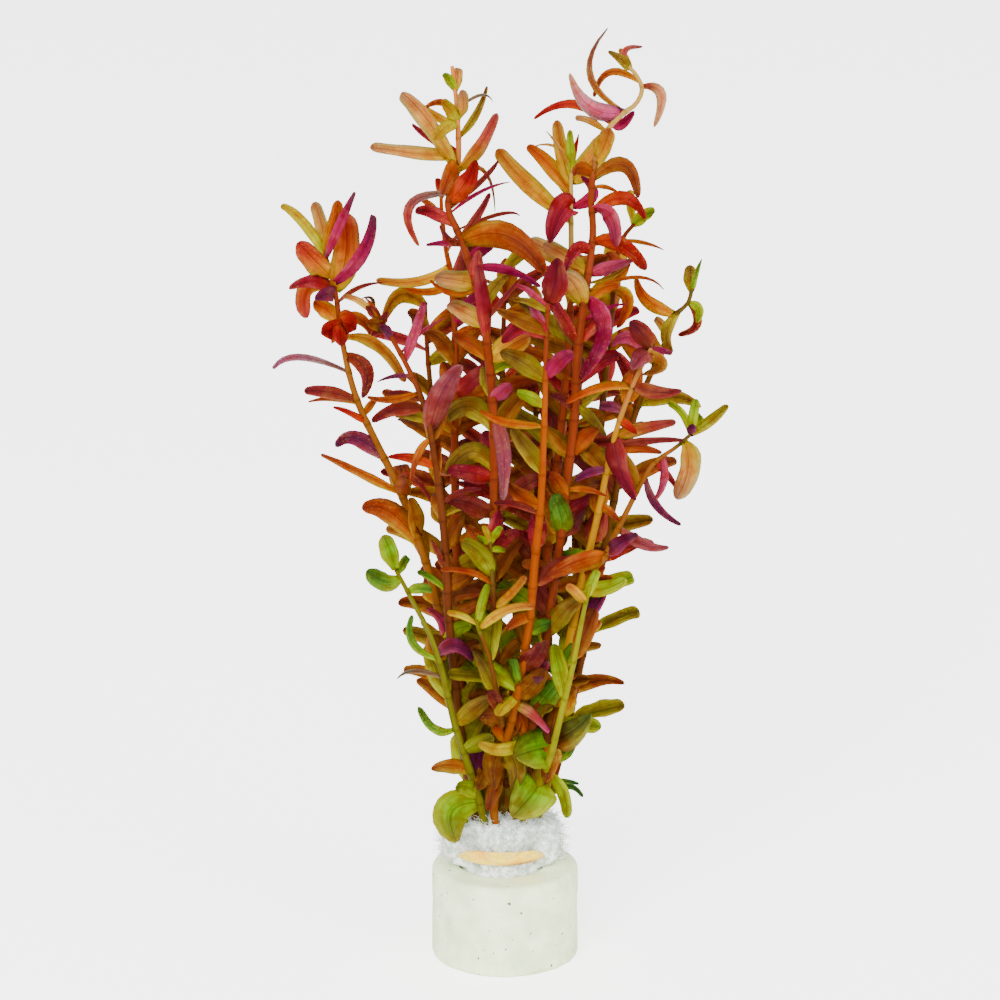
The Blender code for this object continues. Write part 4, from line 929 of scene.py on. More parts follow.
# The round tip is at most this share of a leaf, and shorter on one that narrows
TIP_MOST = 0.4
TIP_NARROWING = 0.8
LEAST_WIDTH = 1.0
# The waves of a margin: where they start, how many there are, and how far the two margins differ
WAVE_START = 40
WAVE_COUNT = (9, 8)
WAVE_OFFSET = 2.1

# The blade is a grid and its copy, one at 1 and one at -1, which meet at 0 along their rims
deselect_all()
bpy.ops.mesh.primitive_grid_add(x_subdivisions=LEAF_COLUMNS, y_subdivisions=LEAF_ROWS, size=1.0)
blade = bpy.context.object
bpy.ops.object.mode_set(mode="EDIT")
bpy.ops.mesh.duplicate()
bpy.ops.mesh.flip_normals()
bpy.ops.transform.translate(value=(0, 0, -1))
bpy.ops.object.mode_set(mode="OBJECT")
for vertex in blade.data.vertices:
    on_rim = max(abs(vertex.co.x), abs(vertex.co.y)) > BLADE_RIM
    vertex.co.z = 0.0 if on_rim else vertex.co.z * 2 + 1
edit(blade, bpy.ops.mesh.remove_doubles, threshold=0.001)
# Of each point of the blade: its place across from -1 to 1, along from 0 to 1, and its face
BLADE_ACROSS, BLADE_ALONG, BLADE_FACE = (read_points(blade.data) * MM).T
BLADE_ACROSS = BLADE_ACROSS * 2
BLADE_ALONG = BLADE_ALONG + 0.5
BLADE_POLYGONS = [tuple(face.vertices) for face in blade.data.polygons]
bpy.data.objects.remove(blade)

Form = namedtuple("Form", "width face fold curl wave turns belly taper shade luck")


def leaf_points(start, control, tip, form):
    """The points of a leaf whose midrib bends from start by control to tip."""
    length = np.linalg.norm(tip - start)
    share = min(TIP_MOST, form.width / 2 * (1 - form.taper * TIP_NARROWING) / length)
    last = LEAF_ROWS - len(TIP_ROWS)
    rows = [*np.linspace(0, 1 - share, last + 1), *(1 - share + share * part for part in TIP_ROWS)]
    place = np.interp(BLADE_ALONG, np.linspace(0, 1, LEAF_ROWS + 1), rows)
    swell = BASE_WIDTH + (1 - BASE_WIDTH) * np.sin(np.pi / 2 * np.minimum(1, place / form.belly))
    swell = swell * (1 - form.taper * place**2)
    on_tip = np.clip((place - 1 + share) / share, 0, 1)
    swell = swell * np.maximum(np.sqrt(1 - on_tip**2), TIP_WIDTH)
    half = form.width / 2 * swell
    along = place[:, None]
    rib = start * (1 - along) ** 2 + control * 2 * along * (1 - along) + tip * along**2
    ways = (control - start) * (1 - along) + (tip - control) * along
    ways /= np.linalg.norm(ways, axis=1)[:, None]
    up = form.face[None, :] - ways * np.sum(ways * form.face, axis=1)[:, None]
    up /= np.linalg.norm(up, axis=1)[:, None]
    side = np.cross(ways, up)
    turn = form.turns[0] + form.turns[1] * (along - 0.5)
    side, up = side * np.cos(turn) + up * np.sin(turn), up * np.cos(turn) - side * np.sin(turn)
    across = BLADE_ACROSS * half
    rise = np.abs(across) * form.fold + across**2 / max(form.width, LEAST_WIDTH) * form.curl
    fewest, more = WAVE_COUNT
    phase = form.luck * WAVE_START + place * (fewest + more * form.luck) + (BLADE_ACROSS > 0) * WAVE_OFFSET
    rise = rise + np.sin(phase) * form.wave * np.abs(BLADE_ACROSS) * half
    rise = rise + BLADE_FACE * LEAF_THICKNESS / 2
    return rib + side * across[:, None] + up * rise[:, None]


LEAF_GAIN = (0.84, 1.16)
LEAF_WARMTH = (0.94, 1.06)
# How far along a leaf the three colours of its shade are
SHADE_PLACES = (0.05, 0.5, 0.95)


def leaf_tints(form, draws):
    """The tints of a leaf's points: its shade's three, a little lighter or darker."""
    gain = draws.uniform(*LEAF_GAIN)
    warmth = draws.uniform(*LEAF_WARMTH)
    tint = np.column_stack([
        np.interp(BLADE_ALONG, SHADE_PLACES, [colour[part] for colour in SHADES[form.shade]])
        for part in range(3)
    ])
    return tint * gain * np.array([warmth, 1.0, 1 / warmth])


Leaf = namedtuple("Leaf", "base bend tip width lean shade")

# The leaves that the viewpoint sees, by stem: where the base, the bend or None, and the tip are
# seen, the width, how far the tip leans away, and the shade. A bend's third number is its depth.
LEAVES = {
    "stem_tall_left": [
        ((458, 168), None, (402, 92), 3.3, -5, "tan"),
        ((458, 156), (418, 154), (370, 147), 2.6, -3, "tan"),
        ((458, 151), (430, 138), (412, 124), 1.8, 4, "crimson"),
        ((458, 128), (434, 115), (416, 103), 1.7, 5, "gold"),
        ((457, 112), (440, 102), (424, 109), 1.5, -4, "rust"),
        ((458, 124), None, (441, 102), 2.4, -3, "yellow"),
        ((460, 122), None, (434, 140), 2.3, -10, "yellow"),
        ((457, 118), (463, 106), (461, 90), 2.2, -2, "tan"),
        ((459, 112), (480, 95), (493, 102), 0.8, 4, "grey"),
        ((459, 137), (476, 114), (487, 86), 1.6, 5, "olive"),
        ((457, 168), (480, 144), (497, 113), 2.8, -5, "dusk"),
        ((456, 161), None, (442, 195), 3.0, -6, "rust"),
        ((447, 202), (464, 184), (475, 160), 4.4, -6, "red"),
        ((455, 172), (485, 172), (495, 212), 0.9, 5, "smoke"),
        ((448, 210), (482, 180), (498, 161), 1.3, 3, "maroon"),
        ((449, 212), (480, 192), (510, 182), 0.9, 7, "magenta"),
        ((458, 236), (478, 215), (490, 193), 1.6, -4, "maroon"),
        ((453, 92), None, (444, 73), 1.8, -2, "lime"),
        ((453, 92), None, (459, 68), 2.0, 2, "tan"),
        ((447, 194), (410, 206), (419, 246), 2.3, -3, "ember"),
        ((453, 226), (435, 213), (415, 211), 2.6, 3, "crimson"),
        ((460, 243), (450, 240), (440, 225), 1.6, -5, "maroon"),
        ((463, 247), (443, 243), (426, 245), 1.3, -3, "magenta"),
        ((466, 258), (480, 252), (493, 247), 2.3, 6, "magenta"),
        ((464, 242), (507, 236), (545, 273), 5.6, -7, "rust"),
        ((458, 230), (500, 214), (520, 216), 0.9, 5, "maroon"),
        ((471, 268), (508, 270), (540, 287), 1.8, 5, "magenta"),
        ((475, 290), (452, 293), (430, 280), 1.6, 5, "orange"),
        ((487, 343), (483, 302), (478, 265), 2.9, -5, "crimson"),
        ((482, 310), (492, 290), (508, 275), 2.7, 4, "olive"),
        ((485, 320), (500, 303), (520, 278), 1.3, -4, "maroon"),
        ((493, 402), None, (512, 385), 3.0, -4, "pink"),
        ((495, 415), (504, 450), (503, 500), 3.2, -6, "mallow"),
        ((490, 374), None, (510, 364), 2.6, 5, "lime"),
        ((495, 428), (470, 407), (444, 421), 4.4, 5, "olive"),
        ((495, 470), (472, 452), (446, 474), 4.2, 4, "olive"),
    ],
    "stem_thin_left": [
        ((449, 264), (420, 281), (376, 280), 2.0, -4, "gold"),
        ((453, 284), (425, 292), (399, 285), 1.6, 5, "orange"),
        ((455, 342), None, (485, 325), 2.7, -4, "rust"),
        ((455, 366), None, (481, 373), 2.7, 5, "maroon"),
        ((444, 222), (432, 207), (420, 199), 1.8, 4, "rust"),
        ((455, 476), (476, 452), (494, 476), 3.6, -4, "olive"),
        ((441, 198), None, (437, 178), 1.6, 2, "red"),
        ((441, 198), None, (448, 180), 1.6, -3, "orange"),
    ],
    "stem_peach": [
        ((571, 224), (528, 186), (497, 149), 3.7, -4, "gold"),
        ((571, 192), (548, 164), (527, 146), 3.1, 4, "orange"),
        ((571, 186), (563, 158), (557, 120), 2.8, -2, "gold"),
        ((572, 176), None, (569, 130), 1.9, -2, "lime"),
        ((572, 172), None, (579, 134), 1.1, 3, "red"),
        ((571, 182), (588, 165), (610, 133), 4.4, -3, "gold"),
        ((571, 196), None, (545, 165), 1.8, 7, "red"),
        ((571, 207), (593, 194), (581, 176), 2.4, -4, "magenta"),
        ((578, 205), (562, 212), (550, 243), 4.9, -6, "crimson"),
        ((571, 185), (560, 150), (532, 147), 0.9, 6, "tan"),
        ((571, 178), (562, 152), (546, 131), 1.0, -4, "tan"),
        ((571, 300), None, (586, 268), 2.3, -4, "olive"),
        ((569, 310), (558, 320), (577, 347), 2.1, -5, "olive"),
        ((529, 760), None, (545, 728), 4.6, 2, "umber"),
        ((526, 786), None, (540, 756), 4.6, 2, "olive"),
    ],
    "stem_tall_right": [
        ((629, 69), (622, 60), (608, 51), 2.0, -3, "olive"),
        ((629, 69), None, (619, 49), 1.3, 2, "gold"),
        ((629, 67), (625, 50), (643, 47), 1.4, 3, "haze"),
        ((640, 82), (610, 72), (594, 97), 1.4, 5, "rust"),
        ((624, 113), (590, 74), (608, 28), 1.5, 3, "smoke"),
        ((642, 86), (661, 94), (654, 127), 2.3, -2, "petal"),
        ((624, 114), (590, 107), (570, 73), 3.4, -5, "rose"),
        ((612, 124), (622, 124), (634, 111), 2.2, 4, "magenta"),
        ((611, 125), (572, 104), (534, 119), 2.0, 5, "red"),
        ((606, 133), (590, 121), (575, 118), 1.3, -5, "tan"),
        ((596, 160), (604, 146), (610, 128), 3.2, -6, "gold"),
        ((594, 176), (580, 168), (574, 176), 3.0, -4, "rust"),
        ((594, 178), (624, 165), (638, 198), 3.0, -5, "brown"),
        ((592, 214), (624, 198), (645, 219), 3.0, 5, "red"),
        ((593, 187), None, (620, 194), 1.1, 7, "orange"),
        ((593, 206), (611, 215), (616, 247), 3.4, -6, "pink"),
        ((592, 241), (620, 244), (646, 270), 3.2, -4, "red"),
        ((590, 250), (577, 250), (566, 271), 2.9, -5, "crimson"),
        ((588, 285), (610, 277), (628, 266), 1.0, 5, "olive"),
        ((586, 292), (635, 277), (664, 290), 0.9, -6, "rust"),
        ((585, 299), (605, 330), (580, 379), 3.2, -7, "magenta"),
        ((582, 322), None, (627, 304), 1.0, 6, "magenta"),
        ((575, 412), None, (550, 395), 2.1, -5, "maroon"),
        ((575, 407), None, (606, 436), 2.4, 4, "olive"),
        ((567, 491), None, (606, 496), 1.4, -5, "rust"),
        ((562, 533), (561, 517), (552, 495), 4.2, -5, "green"),
        ((549, 635), (563, 612), (580, 600), 4.0, -5, "olive"),
        ((545, 656), None, (537, 684), 2.8, -5, "purple"),
        ((543, 715), None, (560, 684), 4.4, -5, "green"),
        ((530, 740), None, (517, 706), 4.6, -1, "rust"),
        ((527, 756), None, (541, 722), 4.8, 2, "brown"),
        ((522, 790), None, (509, 752), 5.0, 0, "umber"),
        ((536, 708), None, (513, 703), 1.8, -3, "gold"),
        ((530, 740), (503, 749), (480, 742), 2.6, -13, "yellow"),
    ],
    "stem_centre": [
        ((549, 304), (555, 282), (557, 258), 4.9, -2, "wine"),
        ((546, 337), (525, 325), (502, 343), 3.4, -4, "crimson"),
        ((545, 380), (560, 360), (574, 354), 2.9, -3, "magenta"),
        ((547, 306), None, (516, 285), 1.3, 3, "pink"),
        ((547, 312), None, (513, 300), 1.5, 5, "olive"),
        ((546, 337), None, (530, 303), 2.2, 4, "pink"),
        ((546, 332), (520, 320), (497, 310), 2.9, -4, "umber"),
        ((545, 379), (522, 362), (500, 352), 4.0, 5, "olive"),
        ((543, 472), (526, 450), (512, 428), 3.8, 5, "olive"),
        ((541, 507), (525, 500), (508, 484), 3.4, 6, "rust"),
        ((544, 425), (505, 422), (480, 410), 1.8, -4, "orange"),
        ((544, 408), None, (517, 393), 2.4, 4, "lime"),
        ((540, 513), None, (494, 503), 1.3, -4, "maroon"),
        ((529, 632), None, (551, 623), 2.7, 4, "green"),
        ((531, 618), (518, 620), (506, 630), 2.4, -5, "rust"),
        ((525, 672), (533, 656), (546, 640), 4.4, -4, "maroon"),
        ((521, 700), (531, 684), (545, 668), 4.6, -3, "umber"),
        ((518, 692), (495, 672), (474, 657), 3.2, -4, "lime"),
        ((519, 690), None, (512, 659), 1.9, -5, "green"),
        ((521, 686), (531, 668), (533, 647), 2.4, 3, "lime"),
        ((516, 699), None, (497, 716), 2.6, -4, "yellow"),
        ((507, 742), None, (492, 722), 3.4, -5, "orange"),
        ((503, 746), (494, 762), (495, 790), 5.0, -6, "umber"),
        ((506, 752), (516, 768), (512, 790), 4.2, -3, "olive"),
        ((497, 776), None, (488, 811), 3.4, -5, "brown"),
        ((507, 738), None, (519, 716), 3.6, 3, "brown"),
        ((512, 705), (530, 712), (549, 733), 2.3, -6, "blush"),
    ],
    "stem_left": [
        ((326, 256), (303, 222), (281, 205), 2.1, -3, "yellow"),
        ((326, 254), (322, 228), (314, 202), 2.6, 2, "tan"),
        ((327, 254), (334, 228), (338, 200), 3.4, 2, "orange"),
        ((325, 258), (341, 222, -17), (355, 192), 1.9, 4, "magenta"),
        ((334, 292), (346, 255), (345, 213), 4.8, -2, "sunset"),
        ((334, 281), (362, 252, -15), (373, 215), 2.8, 5, "magenta"),
        ((331, 277), (317, 262), (298, 242), 4.2, -4, "sunset"),
        ((333, 290), (312, 282), (289, 289), 2.9, -4, "crimson"),
        ((333, 290), (310, 288), (306, 318), 3.6, -5, "sunset"),
        ((336, 296), None, (315, 300), 3.0, -5, "purple"),
        ((338, 322), None, (313, 303), 3.4, 4, "orange"),
        ((352, 332), None, (321, 334), 5.0, -4, "red"),
        ((342, 324), None, (356, 330), 5.2, -5, "red"),
        ((342, 322), None, (341, 346), 3.6, -7, "red"),
        ((337, 303), (360, 287), (385, 283), 1.0, 5, "maroon"),
        ((340, 318), (360, 319), (372, 337), 2.4, 5, "rust"),
        ((342, 336), (377, 344), (405, 382), 2.7, 4, "amber"),
        ((346, 372), (300, 357), (273, 369), 1.7, -2, "mauve"),
        ((345, 355), (366, 370), (362, 398), 3.2, -4, "maroon"),
        ((354, 402), (328, 392), (304, 391), 2.7, -3, "maroon"),
        ((356, 406), None, (308, 402), 1.2, 4, "rust"),
        ((364, 427), (350, 413), (333, 407), 1.3, -5, "red"),
        ((382, 457), (355, 438), (336, 447), 3.1, -4, "purple"),
        ((396, 497), (356, 470), (321, 454), 1.8, -5, "rust"),
        ((419, 544), (390, 512), (362, 509), 4.8, -5, "rust"),
        ((361, 418), None, (378, 398), 1.5, 5, "rust"),
        ((415, 540), None, (409, 498), 3.6, -5, "amber"),
        ((394, 483), (414, 478), (436, 512), 1.2, -4, "maroon"),
        ((445, 641), (442, 622), (427, 608), 2.0, -4, "pink"),
        ((460, 722), None, (483, 693), 1.8, 5, "green"),
        ((470, 782), None, (457, 733), 4.4, -5, "lime"),
        ((472, 776), None, (478, 812), 3.6, -3, "maroon"),
        ((486, 720), None, (468, 700), 4.0, 0, "brown"),
        ((485, 760), None, (499, 724), 4.4, 4, "brown"),
        ((484, 804), None, (476, 770), 4.4, 3, "moss"),
    ],
    "stem_brown": [
        ((404, 360), (416, 330), (424, 302), 2.0, -3, "pink"),
        ((400, 352), None, (445, 318), 0.9, 4, "pink"),
        ((380, 322), None, (365, 298), 1.1, -3, "rust"),
        ((374, 315), (360, 302), (343, 297), 1.3, 3, "tan"),
        ((374, 314), (372, 299), (361, 299), 0.8, -3, "dark"),
        ((378, 318), None, (366, 306), 2.2, -3, "maroon"),
        ((384, 326), None, (366, 324), 2.8, -4, "umber"),
        ((386, 329), None, (371, 336), 2.4, -3, "maroon"),
        ((391, 338), None, (380, 330), 2.4, -6, "purple"),
        ((382, 324), None, (388, 312), 1.6, -3, "maroon"),
        ((419, 393), (390, 400), (367, 397), 1.6, -3, "rust"),
        ((421, 400), None, (388, 393), 1.6, 4, "maroon"),
        ((425, 410), (395, 410), (372, 422), 2.8, -5, "maroon"),
        ((429, 423), None, (395, 416), 2.0, 5, "olive"),
        ((436, 468), (412, 458), (388, 457), 2.3, -4, "red"),
        ((432, 440), (418, 455), (411, 482), 1.8, -5, "rust"),
        ((412, 378), None, (377, 382), 1.0, 4, "purple"),
        ((431, 430), (442, 392), (462, 365), 5.0, -5, "mallow"),
        ((441, 504), (460, 492), (482, 489), 1.4, -4, "maroon"),
        ((442, 518), None, (476, 504), 1.8, 4, "olive"),
        ((447, 590), None, (417, 572), 1.2, -4, "green"),
        ((446, 575), None, (431, 540), 1.4, -4, "maroon"),
        ((472, 790), None, (480, 742), 3.8, -12, "purple"),
    ],
    "stem_yellow": [
        ((651, 345), None, (629, 322), 3.8, -4, "maroon"),
        ((648, 350), None, (632, 370), 3.9, -5, "mallow"),
        ((650, 350), None, (672, 354), 1.4, 4, "magenta"),
        ((649, 352), (662, 366), (642, 375), 2.6, 3, "umber"),
        ((647, 352), (630, 338), (611, 346), 3.0, 4, "pink"),
        ((632, 387), (600, 388), (566, 403), 2.1, -4, "orange"),
        ((640, 386), (656, 392), (682, 390), 2.9, -3, "maroon"),
        ((622, 440), (645, 428), (676, 422), 2.5, -4, "dusk"),
        ((620, 446), (650, 440), (683, 440), 1.6, 6, "maroon"),
        ((616, 437), (620, 468), (636, 500), 4.0, -5, "wine"),
        ((618, 452), (637, 448), (662, 453), 2.2, 3, "rust"),
        ((619, 423), None, (637, 434), 1.8, -3, "red"),
        ((622, 414), None, (599, 406), 2.2, 4, "purple"),
        ((607, 468), None, (575, 481), 1.8, -4, "purple"),
        ((600, 505), None, (619, 521), 1.8, -3, "rust"),
        ((589, 554), None, (560, 556), 1.8, 4, "green"),
        ((582, 588), (605, 588), (626, 578), 2.9, -4, "lime"),
        ((574, 622), (590, 612), (605, 591), 3.1, 4, "purple"),
        ((569, 645), (585, 636), (601, 621), 1.8, -3, "gold"),
        ((564, 668), None, (577, 645), 2.3, -4, "green"),
        ((561, 689), None, (577, 675), 1.6, 3, "rust"),
        ((551, 750), (536, 750), (514, 757), 8.0, -9, "fresh"),
        ((555, 740), (573, 731), (591, 714), 5.8, -5, "bronze"),
        ((551, 766), None, (576, 745), 3.2, 5, "green"),
        ((552, 772), (563, 790), (567, 818), 2.5, -5, "lime"),
        ((557, 702), None, (549, 744), 4.6, -6, "brown"),
        ((552, 744), None, (546, 784), 4.0, -5, "umber"),
        ((546, 800), (566, 786), (583, 797), 1.4, 3, "darkgreen"),
        ((570, 790), None, (579, 784), 1.3, 2, "darkgreen"),
        ((557, 716), None, (577, 688), 5.6, -5, "gold"),
    ],
    "stem_right": [
        ((606, 557), (578, 561), (547, 577), 4.2, -6, "rust"),
        ((689, 435), (684, 415), (668, 403), 1.4, 3, "lime"),
        ((689, 434), None, (697, 399), 1.8, -2, "lime"),
        ((690, 436), None, (701, 415), 2.2, 5, "lime"),
        ((690, 438), None, (693, 424), 1.8, -3, "purple"),
        ((690, 434), (712, 420), (728, 405), 2.2, 3, "moss"),
        ((684, 443), (688, 468), (676, 499), 4.2, -4, "tan"),
        ((646, 478), (656, 505), (681, 525), 1.8, 3, "purple"),
        ((664, 456), (664, 480), (655, 500), 1.8, -5, "pink"),
        ((655, 462), (668, 475), (680, 493), 1.5, 5, "crimson"),
        ((607, 558), (620, 543), (638, 534), 2.9, -4, "purple"),
        ((619, 527), (645, 545), (669, 547), 2.3, -3, "mallow"),
    ],
    "stem_green_right": [
        ((675, 316), (648, 300), (637, 277), 2.9, -3, "orange"),
        ((676, 312), (667, 334), (673, 352), 2.6, -6, "olive"),
        ((691, 292), None, (690, 265), 2.9, 2, "olive"),
        ((691, 291), None, (702, 259), 1.1, -3, "green"),
        ((688, 305), (699, 309), (697, 323), 1.8, -3, "lime"),
        ((688, 305), (697, 324), (678, 335), 1.8, 4, "maroon"),
        ((669, 333), None, (655, 318), 1.8, 4, "tan"),
    ],
    "stem_back_right": [
        ((634, 225), None, (655, 212), 2.4, -3, "lime"),
        ((633, 225), None, (629, 190), 2.0, 3, "yellow"),
        ((624, 239), (645, 243), (664, 250), 0.9, -4, "rust"),
        ((614, 286), None, (631, 263), 2.7, -5, "orange"),
        ((614, 290), (627, 302), (617, 328), 2.7, -6, "orange"),
        ((608, 372), None, (604, 342), 1.4, -5, "lime"),
        ((552, 742), None, (566, 712), 4.6, 0, "brown"),
        ((547, 770), None, (560, 736), 4.2, -3, "umber"),
        ((542, 784), None, (533, 812), 3.8, -3, "brown"),
    ],
    "stem_back_left": [
        ((424, 308), (400, 295), (383, 322), 3.5, -5, "amber"),
    ],
    "stem_green_left": [
        ((396, 571), None, (383, 535), 3.6, -2, "fresh"),
        ((399, 578), (385, 582), (367, 570), 3.4, -4, "green"),
        ((398, 572), None, (408, 557), 1.6, 3, "green"),
        ((409, 594), None, (432, 590), 2.2, 4, "green"),
        ((438, 660), (412, 642), (412, 615), 1.6, -4, "green"),
        ((436, 655), (455, 646), (473, 661), 3.0, 4, "purple"),
        ((443, 678), (415, 671), (397, 679), 1.1, -4, "grey"),
        ((446, 696), (437, 672), (428, 643), 4.2, -3, "moss"),
        ((456, 730), (435, 730), (418, 707), 1.8, -3, "green"),
        ((468, 774), (450, 765), (431, 769), 3.4, -3, "amber"),
        ((475, 797), None, (455, 788), 3.2, 3, "lime"),
        ((479, 804), (452, 812), (457, 842), 7.4, -6, "fresh"),
    ],
    "shoot_mid": [
        ((490, 543), None, (477, 537), 1.4, -2, "lime"),
        ((490, 542), None, (483, 526), 1.3, 3, "yellow"),
        ((490, 542), None, (501, 526), 1.6, -3, "lime"),
        ((491, 552), None, (505, 551), 1.3, 3, "lime"),
        ((503, 764), (488, 772), (478, 790), 4.2, -9, "umber"),
        ((506, 800), None, (520, 770), 5.0, 2, "umber"),
        ((505, 784), None, (502, 814), 3.4, -3, "olive"),
        ((504, 806), None, (489, 776), 4.4, 3, "brown"),
        ((492, 575), (478, 552), (461, 542), 3.6, -4, "moss"),
        ((495, 606), (508, 597), (526, 576), 1.6, -4, "gold"),
        ((493, 586), (470, 572), (440, 570), 1.4, -5, "rust"),
    ],
    "shoot_low": [
        ((476, 624), None, (447, 613), 1.4, -2, "yellow"),
        ((477, 624), None, (488, 584), 1.7, 2, "lime"),
        ((478, 628), (505, 611), (534, 607), 1.8, -3, "gold"),
        ((494, 712), None, (488, 690), 2.6, -4, "maroon"),
        ((499, 720), None, (478, 716), 4.0, -2, "brown"),
    ],
    "shoot_right": [
        ((545, 788), (530, 797), (512, 817), 8.4, -6, "fresh"),
        ((585, 598), None, (598, 570), 2.0, 3, "lime"),
        ((584, 600), None, (566, 585), 2.0, -3, "gold"),
    ],
}

# A listed leaf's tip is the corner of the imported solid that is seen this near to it, in pixels
TIP_MATCH = 0.7
LISTED_WIDENING = 1.35
LISTED_ARCH = 0.08
# Leaves that are narrower than this, or have one of these shades, end in a thread
THREAD_WIDTH = 1.5
THREAD_SHADES = ("smoke", "grey")
THREAD_TAPER = 0.85
# Leaves narrow towards the tip by these shares, and those of some shades are blunt
TAPER = (0.5, 0.8)
BLUNT_TAPER = (0.2, 0.5)
BLUNT_SHADES = ("tan", "gold", "sunset", "fresh", "lime", "yellow", "green", "moss")
# Leaves widen over these shares of their length, and those of some shades start as a thread
BELLY = (0.3, 0.6)
LATE_BELLY = 0.85
LATE_SHADES = ("mauve", "ember")
FOLD = (0.05, 0.4)
CURL = (-0.8, 0.8)
WAVE = (0.03, 0.16)
ROLL = (math.radians(-26), math.radians(26))
TWIST = (math.radians(-44), math.radians(44))
# The frame is marked as covered in square cells, by places spread over each face of a leaf
CELL = 4
COVER_STEPS = np.linspace(0, 1, 5)
SHARES = np.array([(u, v) for u in COVER_STEPS for v in COVER_STEPS])
QUADS = np.array(BLADE_POLYGONS)
LEAF_SEED = 5

luck = random.Random(LEAF_SEED)
route_places = {name: places_of(route.points) for name, route in routes.items()}
covered = np.zeros((FRAME_PIXELS // CELL, FRAME_PIXELS // CELL), dtype=bool)
kept = []
grown = {name: [] for name in STEMS}
joints = {name: [] for name in STEMS}


def tree_of(points):
    return BVHTree.FromPolygons([tuple(point) for point in points], BLADE_POLYGONS)


def has_room(points):
    """Whether a leaf's points cross no leaf that has been grown."""
    low, high = points.min(axis=0), points.max(axis=0)
    tree = tree_of(points)
    return not any(
        (low < other_high).all() and (other_low < high).all() and tree.overlap(other)
        for other_low, other_high, other in kept
    )


def keep_leaf(name, points, form, distance):
    """Adds a leaf to a stem, and marks where the viewpoint sees it."""
    grown[name].append((points, form))
    joints[name].append(float(distance))
    kept.append((points.min(axis=0), points.max(axis=0), tree_of(points)))
    u, v = SHARES[:, 0, None], SHARES[:, 1, None]
    for a, b, c, d in places_of(points)[QUADS]:
        spots = (a * (1 - u) + b * u) * (1 - v) + (d * (1 - u) + c * u) * v
        cells = np.clip(spots / CELL, 0, len(covered) - 1).astype(int)
        covered[cells[:, 1], cells[:, 0]] = True


def form_of(width, face, shade):
    """A leaf's form, with its own fold, curl, wave, turns, belly and taper."""
    is_thread = width < THREAD_WIDTH or shade in THREAD_SHADES
    return Form(
        width, np.array(face), luck.uniform(*FOLD), luck.uniform(*CURL), luck.uniform(*WAVE),
        (luck.uniform(*ROLL), luck.uniform(*TWIST)),
        LATE_BELLY if shade in LATE_SHADES else luck.uniform(*BELLY),
        THREAD_TAPER if is_thread else luck.uniform(*(BLUNT_TAPER if shade in BLUNT_SHADES else TAPER)),
        shade, luck.random(),
    )


def grow_listed(name, corners, leaf):
    """Grows a listed leaf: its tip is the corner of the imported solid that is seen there."""
    route = routes[name]
    index = int(np.argmin(np.linalg.norm(route_places[name] - leaf.base, axis=1)))
    base = route.points[index]
    gaps = np.linalg.norm(places_of(corners) - leaf.tip, axis=1)
    nearest = int(np.argmin(gaps))
    found = gaps[nearest] < TIP_MATCH
    tip = corners[nearest] if found else np.array(seen_at(*leaf.tip, base[1] + leaf.lean))
    if leaf.bend:
        across, down, *depth = leaf.bend
        bend = np.array(seen_at(across, down, *(depth or [(base[1] + tip[1]) / 2])))
    else:
        bend = (base + tip) / 2 + np.array((0, 0, np.linalg.norm(tip - base) * LISTED_ARCH))
    form = form_of(leaf.width * LISTED_WIDENING, EYE - Vector(base), leaf.shade)
    keep_leaf(name, leaf_points(base, bend * 2 - (base + tip) / 2, tip, form), form, route.reach[index])
    return tip


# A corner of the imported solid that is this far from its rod, and in three triangles, is a leaf's tip
SOLID_TIP_LEAST = 3.0
SOLID_TIP_TRIANGLES = 3


def solid_tips(route, corners):
    """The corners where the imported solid's leaves end, each with the nearest point of the route."""
    spots, counts = np.unique(np.round(corners, 3), axis=0, return_counts=True)
    ends = spots[counts == SOLID_TIP_TRIANGLES]
    gaps = np.linalg.norm(ends[:, None, :] - route.points[None, :, :], axis=2)
    return [(end, int(np.argmin(gap))) for end, gap in zip(ends, gaps) if gap.min() > SOLID_TIP_LEAST]


# The heights above the floor where the crowns' shades, the high and the middle shades start
CROWN_HEIGHT = 150
HIGH_HEIGHT = 145
MIDDLE_HEIGHT = 85
CROWN_SHADES = {
    "stem_tall_left": ["tan", "orange", "red", "crimson"],
    "stem_tall_right": ["tan", "orange", "tan", "pink"],
    "stem_peach": ["peach", "tan", "orange"],
}
HIGH_SHADES = ["rust", "amber", "rust", "magenta", "olive", "gold", "crimson", "rust"]
MIDDLE_SHADES = ["rust", "umber", "olive", "brown", "maroon", "crimson", "rust", "brown", "amber"]
LOW_SHADES = ["olive", "umber", "moss", "brown", "lime", "umber", "moss"]


def shade_at(name, height):
    """A shade for a leaf of a stem at a height."""
    if name in CROWN_SHADES and height > CROWN_HEIGHT:
        return luck.choice(CROWN_SHADES[name])
    if height > HIGH_HEIGHT:
        return luck.choice(HIGH_SHADES)
    return luck.choice(MIDDLE_SHADES if height > MIDDLE_HEIGHT else LOW_SHADES)


# How far an unlisted leaf arches, as a share of its length, and how its face may turn
FREE_ARCH = (0.0, 0.14)
FACE_SIDEWAYS = (-0.5, 0.5)
FACE_UPWARDS = (0.0, 0.8)


def free_leaf(name, index, tip, width, shade=None):
    """A leaf that the list doesn't have, from a point of the route to a tip."""
    route = routes[name]
    base = route.points[index]
    arch = np.linalg.norm(tip - base) * luck.uniform(*FREE_ARCH)
    bend = (base + tip) / 2 + route.ways[index] * arch
    face = Vector((luck.uniform(*FACE_SIDEWAYS), -1.0, luck.uniform(*FACE_UPWARDS)))
    form = form_of(width, face, shade or shade_at(name, base[2]))
    return leaf_points(base, bend * 2 - (base + tip) / 2, tip, form), form


